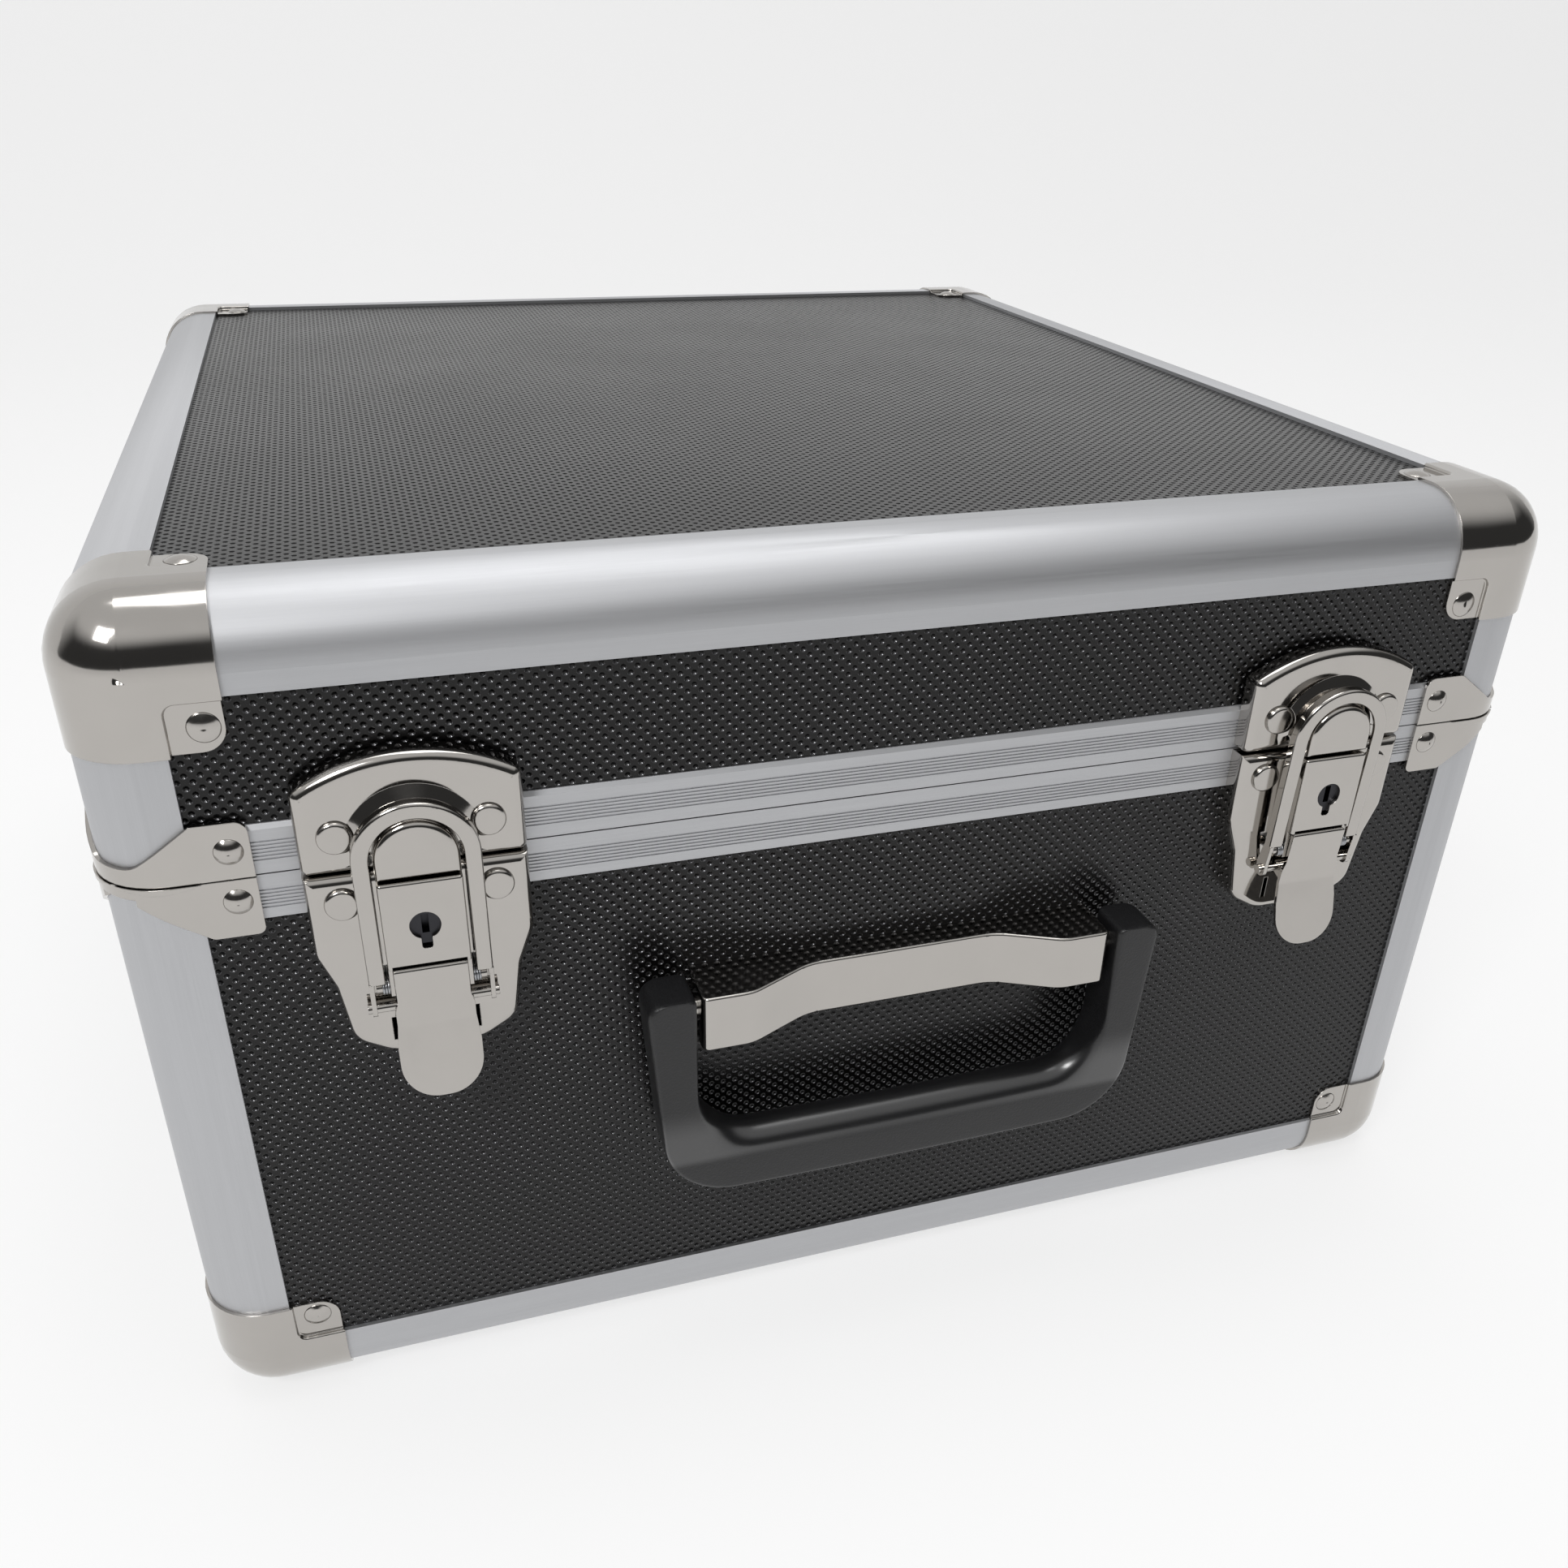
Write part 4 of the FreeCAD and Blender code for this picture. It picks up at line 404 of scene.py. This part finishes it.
def plush_finish():
    """Short pile plush over foam: fuzzy, with lighter brushed patches."""
    finish = Finish("plush_finish")
    place = finish.place()
    pile = finish.cloud(place, 2600.0, 3.0, 0.7)
    brushed = finish.cloud(finish.stretch(place, (1.0, 1.0, 0.5)), 18.0, 4.0, 0.6)
    black = tuple(looks().soft.colour)
    base = finish.mix((pile * 0.6 + brushed * 0.6).rise(0.35, 0.85), tuple(0.5 * part for part in black),
                      tuple(1.9 * part for part in black))
    return finish.surface(base_color=base, roughness=0.94, sheen_weight=0.5, sheen_roughness=0.4,
                          specular_ior_level=0.2, normal=finish.bump(pile, 0.5 * MM))


def ply_finish():
    """Plywood: long grain with the layers showing at the edges."""
    finish = Finish("plywood_finish")
    place = finish.place()
    grain = finish.cloud(finish.stretch(place, (0.05, 1.0, 1.0)), 320.0, 5.0, 0.6)
    base = finish.mix(grain, (0.42, 0.29, 0.17), (0.66, 0.50, 0.33))
    return finish.surface(base_color=base, roughness=0.7, normal=finish.bump(grain, 0.08 * MM))


# Meshes
def new_piece(name, bodies, material, smooth=True):
    """A piece from a filled bmesh, riding on a body of the frame."""
    mesh = bpy.data.meshes.new(name)
    bodies[0].to_mesh(mesh)
    bodies[0].free()
    for face in mesh.polygons:
        face.use_smooth = smooth
    piece = bpy.data.objects.new(name, mesh)
    bpy.context.scene.collection.objects.link(piece)
    piece.data.materials.append(material)
    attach(piece, bodies[1])
    return piece


def section(width, depth, near_round, far_round, steps=6):
    """A rounded oblong, from its outer side at 0 to its inner side at width, with its own round at each side."""
    points = []
    corners = [(near_round, near_round, near_round, 270), (near_round, depth - near_round, near_round, 180),
               (width - far_round, depth - far_round, far_round, 90), (width - far_round, far_round, far_round, 0)]
    for at, out, radius, start in corners:
        for step in range(steps + 1):
            angle = math.radians(start - 90 * step / steps)
            points.append((at + radius * math.cos(angle), out + radius * math.sin(angle)))
    return points


def grip_stations(grip):
    """Pairs of outer and inner points in XZ from the middle of the bar round to the right arm's top."""
    bottom, top = GRIP_LOW.z, GRIP_HIGH.z
    bar_top = bottom + grip.bar_height
    outer_centre = Vector((grip.half - grip.corner, bottom + grip.corner))
    inner_centre = Vector((grip.inner_half - grip.inner_corner, bar_top + grip.inner_corner))
    stations = []
    for step in range(8):
        share = step / 8
        crown = 0.5 * MM * (1 - share ** 2)
        outer = Vector((outer_centre.x * share, bottom - crown))
        inner = Vector((inner_centre.x * share, bar_top - crown))
        stations.append((outer, inner, 1.0))
    for step in range(15):
        angle = math.radians(90 * step / 14)
        way = Vector((math.sin(angle), -math.cos(angle)))
        share = 1 - step / 14
        roundness = share * share * (3 - 2 * share)
        stations.append((outer_centre + way * grip.corner, inner_centre + way * grip.inner_corner, roundness))
    cap, small = 5.0 * MM, 2.0 * MM
    outer_low, inner_low = outer_centre.y, inner_centre.y
    for step in range(1, 9):
        share = step / 8
        outer = Vector((grip.half + (grip.top_half - grip.half) * share,
                        outer_low + (top - cap - outer_low) * share))
        inner = Vector((grip.inner_half, inner_low + (top - small - inner_low) * share))
        stations.append((outer, inner, 0.0))
    for step in range(1, 7):
        angle = math.radians(90 * step / 6)
        outer = Vector((grip.top_half - cap * (1 - math.cos(angle)), top - cap * (1 - math.sin(angle))))
        inner = Vector((grip.inner_half + small * (1 - math.cos(angle)), top - small * (1 - math.sin(angle))))
        stations.append((outer, inner, 0.0))
    return stations


def grip_mesh(grip):
    """The U of the grip, its rounded section swept from arm to arm."""
    half = grip_stations(grip)
    mirrored = [(Vector((-o.x, o.y)), Vector((-i.x, i.y)), r) for o, i, r in reversed(half[1:])]
    near, depth = -GRIP_HIGH.y, GRIP_HIGH.y - GRIP_LOW.y
    made = bmesh.new()
    rings = []
    for outer, inner, roundness in mirrored + half:
        width = (inner - outer).length
        way = (inner - outer) / width
        far_round = min(grip.edge + (grip.bar_round - grip.edge) * roundness, width * 0.45, depth * 0.49)
        ring = []
        for at, out in section(width, depth, min(grip.edge * 1.5, width * 0.3), far_round):
            point = outer + way * at
            ring.append(made.verts.new((point.x, -near - out, point.y)))
        rings.append(ring)
    count = len(rings[0])
    for first, second in zip(rings, rings[1:]):
        for number in range(count):
            after = (number + 1) % count
            made.faces.new((first[number], first[after], second[after], second[number]))
    for ring in (rings[0], rings[-1]):
        made.faces.new(ring)
    bmesh.ops.recalc_face_normals(made, faces=made.faces)
    return made


def lining_slab(made, low, high, thin, inward, roll, seed):
    """Add one soft slab: flat against its wall, crowned towards the inside, with rolled edges.

    thin is the axis of its thickness, and inward is 1 or -1 along it.
    """
    wide, tall = [axis for axis in range(3) if axis != thin]
    size_wide, size_tall = high[wide] - low[wide], high[tall] - low[tall]
    thick = high[thin] - low[thin]
    columns = max(8, round(size_wide / (11 * MM)))
    rows = max(6, round(size_tall / (11 * MM)))
    back = low[thin] if inward > 0 else high[thin]

    def ramp(position, length):
        edge = min(position, length - position)
        return math.sqrt(max(0.0, 1 - (1 - min(edge / roll, 1.0)) ** 2))

    def spots(length, count):
        inner = [roll + (length - 2 * roll) * step / count for step in range(count + 1)]
        lip = [0.0, roll * 0.15, roll * 0.45]
        return lip + inner + [length - spot for spot in reversed(lip)]

    across, up = spots(size_wide, columns), spots(size_tall, rows)
    front, rear = [], []
    for b in up:
        front_row, rear_row = [], []
        for a in across:
            swell = ramp(a, size_wide) * ramp(b, size_tall)
            place = Vector((a * 14 + seed, b * 14, seed * 3.7))
            lumps = 0.5 + 0.5 * noise.noise(place)
            height = thick * (0.18 + 0.82 * swell * (0.90 + 0.10 * lumps))
            point = [0.0, 0.0, 0.0]
            point[wide], point[tall] = low[wide] + a, low[tall] + b
            point[thin] = back + inward * height
            front_row.append(made.verts.new(point))
            point[thin] = back
            rear_row.append(made.verts.new(point))
        front.append(front_row)
        rear.append(rear_row)
    last_row, last_column = len(up) - 1, len(across) - 1
    for row in range(last_row):
        for column in range(last_column):
            for sheet in (front, rear):
                made.faces.new((sheet[row][column], sheet[row][column + 1],
                                sheet[row + 1][column + 1], sheet[row + 1][column]))
    rim = [(0, c) for c in range(last_column)] + [(r, last_column) for r in range(last_row)]
    rim += [(last_row, c) for c in range(last_column, 0, -1)] + [(r, 0) for r in range(last_row, 0, -1)]
    for (row, column), (next_row, next_column) in zip(rim, rim[1:] + rim[:1]):
        made.faces.new((front[row][column], front[next_row][next_column],
                        rear[next_row][next_column], rear[row][column]))


# One operator for each group of pieces
class CASE_OT_skins(Operator):
    """Give the panels their black embossed skin and the boards their plywood"""

    bl_idname = "case.skins"
    bl_label = "Panels"

    def execute(self, context):
        dress(["base_skins", "lid_skins"], skin_finish())
        dress([name for name in NODES if name.endswith("_board")], ply_finish())
        return {"FINISHED"}


class CASE_OT_rails(Operator):
    """Give the edge rails, corner posts and closing rails their satin aluminium"""

    bl_idname = "case.rails"
    bl_label = "Aluminium rails"

    def execute(self, context):
        finishes = [rail_finish(f"aluminium_along_{'xyz'[axis]}_finish", axis) for axis in range(3)]
        for name in NODES:
            if "posts" in name:
                wear(NODES[name], finishes[2])
            elif "rail" in name:
                wear(NODES[name], finishes[1 if "_side_" in name else 0])
        return {"FINISHED"}


class CASE_OT_corners(Operator):
    """Give the corner caps, parting clamps and rivets their chrome"""

    bl_idname = "case.corners"
    bl_label = "Corner pieces and rivets"

    def execute(self, context):
        metal = looks().metal
        pressed = chrome_finish("pressed_corner_finish", metal.chrome_roughness + 0.02, 0.5 * MM)
        dress([name for name in NODES if name.endswith(("_caps", "_clamps"))], pressed)
        heads = chrome_finish("rivet_head_finish", metal.chrome_roughness + 0.07, 0.2 * MM)
        dress(["base_rivets", "lid_rivets"], heads)
        return {"FINISHED"}


class CASE_OT_latches(Operator):
    """Give both draw latches their chrome, their steel pins and their dark lock plugs"""

    bl_idname = "case.latches"
    bl_label = "Latches"

    def execute(self, context):
        metal = looks().metal
        bright = chrome_finish("latch_plate_finish", metal.chrome_roughness, 0.35 * MM)
        shiny = chrome_finish("latch_pin_finish", metal.chrome_roughness, 0.1 * MM)
        dark = zinc_finish("lock_plug_finish", (0.05, 0.05, 0.055), 0.3)
        for side in ("left", "right"):
            dress([f"latch_strike_{side}", f"latch_base_plate_{side}", f"lock_housing_{side}",
                   f"latch_lever_{side}", f"latch_bail_{side}"], bright)
            dress([f"bail_pin_{side}"], shiny)
            dress([f"lock_plug_{side}"], dark)
        dress(["latch_fulcrum_pins"], shiny)
        dress(["lock_bodies"], dark)
        dress(["latch_springs"], zinc_finish("spring_wire_finish", (0.45, 0.46, 0.48), 0.25))
        return {"FINISHED"}


class CASE_OT_handle(Operator):
    """Make the moulded grip, and give the cover and its pins their chrome"""

    bl_idname = "case.handle"
    bl_label = "Carrying handle"

    def execute(self, context):
        metal = looks().metal
        piece = new_piece("carrying_grip", (grip_mesh(looks().grip), "handle"), grip_finish())
        soft = piece.modifiers.new("smooth", "SUBSURF")
        soft.levels = soft.render_levels = 1
        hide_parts("handle_grip")
        dress(["handle_cover"], chrome_finish("handle_cover_finish", metal.chrome_roughness, 0.6 * MM))
        dress(["handle_pivot_pins"], chrome_finish("handle_pin_finish", 0.14, 0.1 * MM))
        dress(["handle_backing_plate"], zinc_finish("backing_plate_finish", tuple(metal.zinc), 0.35))
        return {"FINISHED"}


class CASE_OT_hinges(Operator):
    """Give the rear hinges their zinc plate"""

    bl_idname = "case.hinges"
    bl_label = "Rear hinges"

    def execute(self, context):
        metal = looks().metal
        leaf = zinc_finish("hinge_leaf_finish", tuple(metal.zinc), 0.26)
        dress(["hinge_base_leaves", "hinge_lid_leaves"], leaf)
        dress(["hinge_pins"], zinc_finish("hinge_pin_finish", (0.66, 0.67, 0.70), 0.18))
        return {"FINISHED"}


class CASE_OT_lining(Operator):
    """Make the plush linings of the walls and the pads of the floor and lid"""

    bl_idname = "case.lining"
    bl_label = "Plush lining"

    def execute(self, context):
        roll = looks().soft.roll
        plush = plush_finish()
        for half, pad, inward in (("base", "base_floor_pad", 1), ("lid", "lid_top_pad", -1)):
            low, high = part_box(pad)
            made = bmesh.new()
            lining_slab(made, low, high, 2, inward, roll, 5 + inward)
            self.finish_piece(made, half, plush, pad)
            walls = f"{half}_wall_lining"
            low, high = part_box(walls)
            thick = 4.0 * MM
            made = bmesh.new()
            for axis in (0, 1):
                for way in (1, -1):
                    slab_low, slab_high = low.copy(), high.copy()
                    if way > 0:
                        slab_high[axis] = low[axis] + thick
                    else:
                        slab_low[axis] = high[axis] - thick
                    if axis == 0:
                        slab_low.y += thick
                        slab_high.y -= thick
                    lining_slab(made, slab_low, slab_high, axis, way, roll, 11 + 3 * axis + way)
            self.finish_piece(made, half, plush, walls)
        return {"FINISHED"}

    @staticmethod
    def finish_piece(made, body, plush, node):
        bmesh.ops.recalc_face_normals(made, faces=made.faces)
        piece = new_piece(f"{node}_plush", (made, body), plush)
        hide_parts(node)


class CASE_OT_stage(Operator):
    """Set the floor, the backdrop, the lights and the camera"""

    bl_idname = "case.stage"
    bl_label = "Stage"

    def execute(self, context):
        self.sweep()
        self.lights()
        self.room()
        self.camera()
        context.scene.view_settings.view_transform = "Standard"
        return {"FINISHED"}

    @staticmethod
    def sweep():
        """A pale floor that curves up into a backdrop behind the case."""
        made = bmesh.new()
        outline = [(-14.0, 0.0), (1.8, 0.0)]
        for step in range(1, 13):
            angle = math.radians(90 * step / 12)
            outline.append((1.8 + 1.2 * math.sin(angle), 1.2 - 1.2 * math.cos(angle)))
        outline.append((3.0, 4.0))
        rows = [[made.verts.new((x, y, z)) for x in (-14.0, 14.0)] for y, z in outline]
        for low, high in zip(rows, rows[1:]):
            made.faces.new((low[0], low[1], high[1], high[0]))
        mesh = bpy.data.meshes.new("floor_sweep")
        made.to_mesh(mesh)
        made.free()
        for face in mesh.polygons:
            face.use_smooth = True
        floor = bpy.data.objects.new("floor_sweep", mesh)
        bpy.context.scene.collection.objects.link(floor)
        finish = Finish("floor_finish")
        tone = finish.cloud(finish.place(), 3.0, 2.0)
        pale = tuple(looks().stage.floor)
        finish.surface(base_color=finish.mix(tone, tuple(0.985 * part for part in pale), pale), roughness=0.85,
                       specular_ior_level=0.1)
        seen = finish.node("ShaderNodeLightPath", {}, {}, "Is Camera Ray").most(
            finish.node("ShaderNodeLightPath", {}, {}, "Is Glossy Ray")).most(
            finish.node("ShaderNodeLightPath", {}, {}, "Is Transmission Ray"))
        glow = finish.node("ShaderNodeEmission", {}, {"Color": (1.0, 1.0, 1.0), "Strength": 1.0})
        lit = Value(finish, finish.shader.outputs[0])
        both = finish.node("ShaderNodeMixShader", {}, {0: seen * 0.7, 1: lit, 2: glow})
        finish.link(finish.tree.nodes["Material Output"].inputs["Surface"], both)
        mesh.materials.append(finish.material)

    @staticmethod
    def lights():
        stage = looks().stage
        lamps = [
            ("top_light", (0.1, 0.1, 2.1), (0.0, 0.0, 0.1), 1.2, stage.top_light),
            ("window_light", (-1.1, -1.3, 1.75), (0.0, 0.0, 0.15), 0.6, stage.window_light),
        ]
        for name, place, target, width, power in lamps:
            data = bpy.data.lights.new(name, "AREA")
            data.shape = "SQUARE"
            data.size = width
            data.energy = power
            lamp = bpy.data.objects.new(name, data)
            lamp.location = place
            lamp.rotation_euler = (Vector(target) - Vector(place)).to_track_quat("-Z", "Y").to_euler()
            bpy.context.scene.collection.objects.link(lamp)

    @staticmethod
    def room():
        """White to the eye; as light, bright above and behind the case and dim where the photographer stands."""
        world = bpy.data.worlds.new("studio")
        world.use_nodes = True
        bpy.context.scene.world = world
        finish = Finish.__new__(Finish)
        finish.tree = world.node_tree
        _, y, z = finish.split(finish.node("ShaderNodeTexCoord", {}, {}, "Generated"))
        above = z.rise(0.42, 0.74)
        behind = (y + z * 0.5).rise(0.0, 0.7)
        strength = looks().stage.room * (0.07 + above.most(behind))
        seen = finish.node("ShaderNodeLightPath", {}, {}, "Is Camera Ray")
        background = finish.tree.nodes["Background"]
        background.inputs["Color"].default_value = (1.0, 1.0, 1.0, 1.0)
        finish.link(background.inputs["Strength"], seen.most(strength))

    @staticmethod
    def camera():
        """The photograph's view, solved from the case's straight edges."""
        data = bpy.data.cameras.new("camera")
        data.lens = 31.76
        data.sensor_width = 36.0
        data.shift_x = -0.00485
        data.shift_y = 0.0295
        right = Vector((0.95350, -0.30062, 0.02152))
        down = Vector((-0.12879, -0.47096, -0.87270))
        ahead = Vector((0.27249, 0.82935, -0.48778))
        turn = Matrix((right, -down, -ahead)).transposed()
        camera = bpy.data.objects.new("camera", data)
        camera.matrix_world = Matrix.Translation((-0.1513, -0.5835, 0.4006)) @ turn.to_4x4()
        bpy.context.scene.collection.objects.link(camera)
        bpy.context.scene.camera = camera


class CASE_PT_looks(Panel):
    """Sidebar panel with the case's pieces and their settings"""

    bl_idname = "CASE_PT_looks"
    bl_label = "Accordion case"
    bl_space_type = "VIEW_3D"
    bl_region_type = "UI"
    bl_category = "Case"

    def draw(self, context):
        layout = self.layout
        for name in ("skin", "metal", "grip", "soft", "stage"):
            group = getattr(context.scene.case_looks, name)
            column = layout.box().column()
            for key in group.bl_rna.properties.keys():
                if key not in ("name", "rna_type"):
                    column.prop(group, key)
        for operator in OPERATORS:
            layout.operator(operator.bl_idname)


OPERATORS = (CASE_OT_skins, CASE_OT_rails, CASE_OT_corners, CASE_OT_latches, CASE_OT_handle,
             CASE_OT_hinges, CASE_OT_lining, CASE_OT_stage)
SETTINGS = (SkinSettings, MetalSettings, GripSettings, SoftSettings, StageSettings, CaseLooks)


def register():
    for item in SETTINGS + OPERATORS + (CASE_PT_looks,):
        bpy.utils.register_class(item)
    bpy.types.Scene.case_looks = PointerProperty(type=CaseLooks)


def unregister():
    del bpy.types.Scene.case_looks
    for item in reversed(SETTINGS + OPERATORS + (CASE_PT_looks,)):
        bpy.utils.unregister_class(item)


def main():
    register()
    bpy.ops.case.skins()
    bpy.ops.case.rails()
    bpy.ops.case.corners()
    bpy.ops.case.latches()
    bpy.ops.case.handle()
    bpy.ops.case.hinges()
    bpy.ops.case.lining()
    bpy.ops.case.stage()
    bpy.context.view_layer.update()


if __name__ == "__main__":
    main()
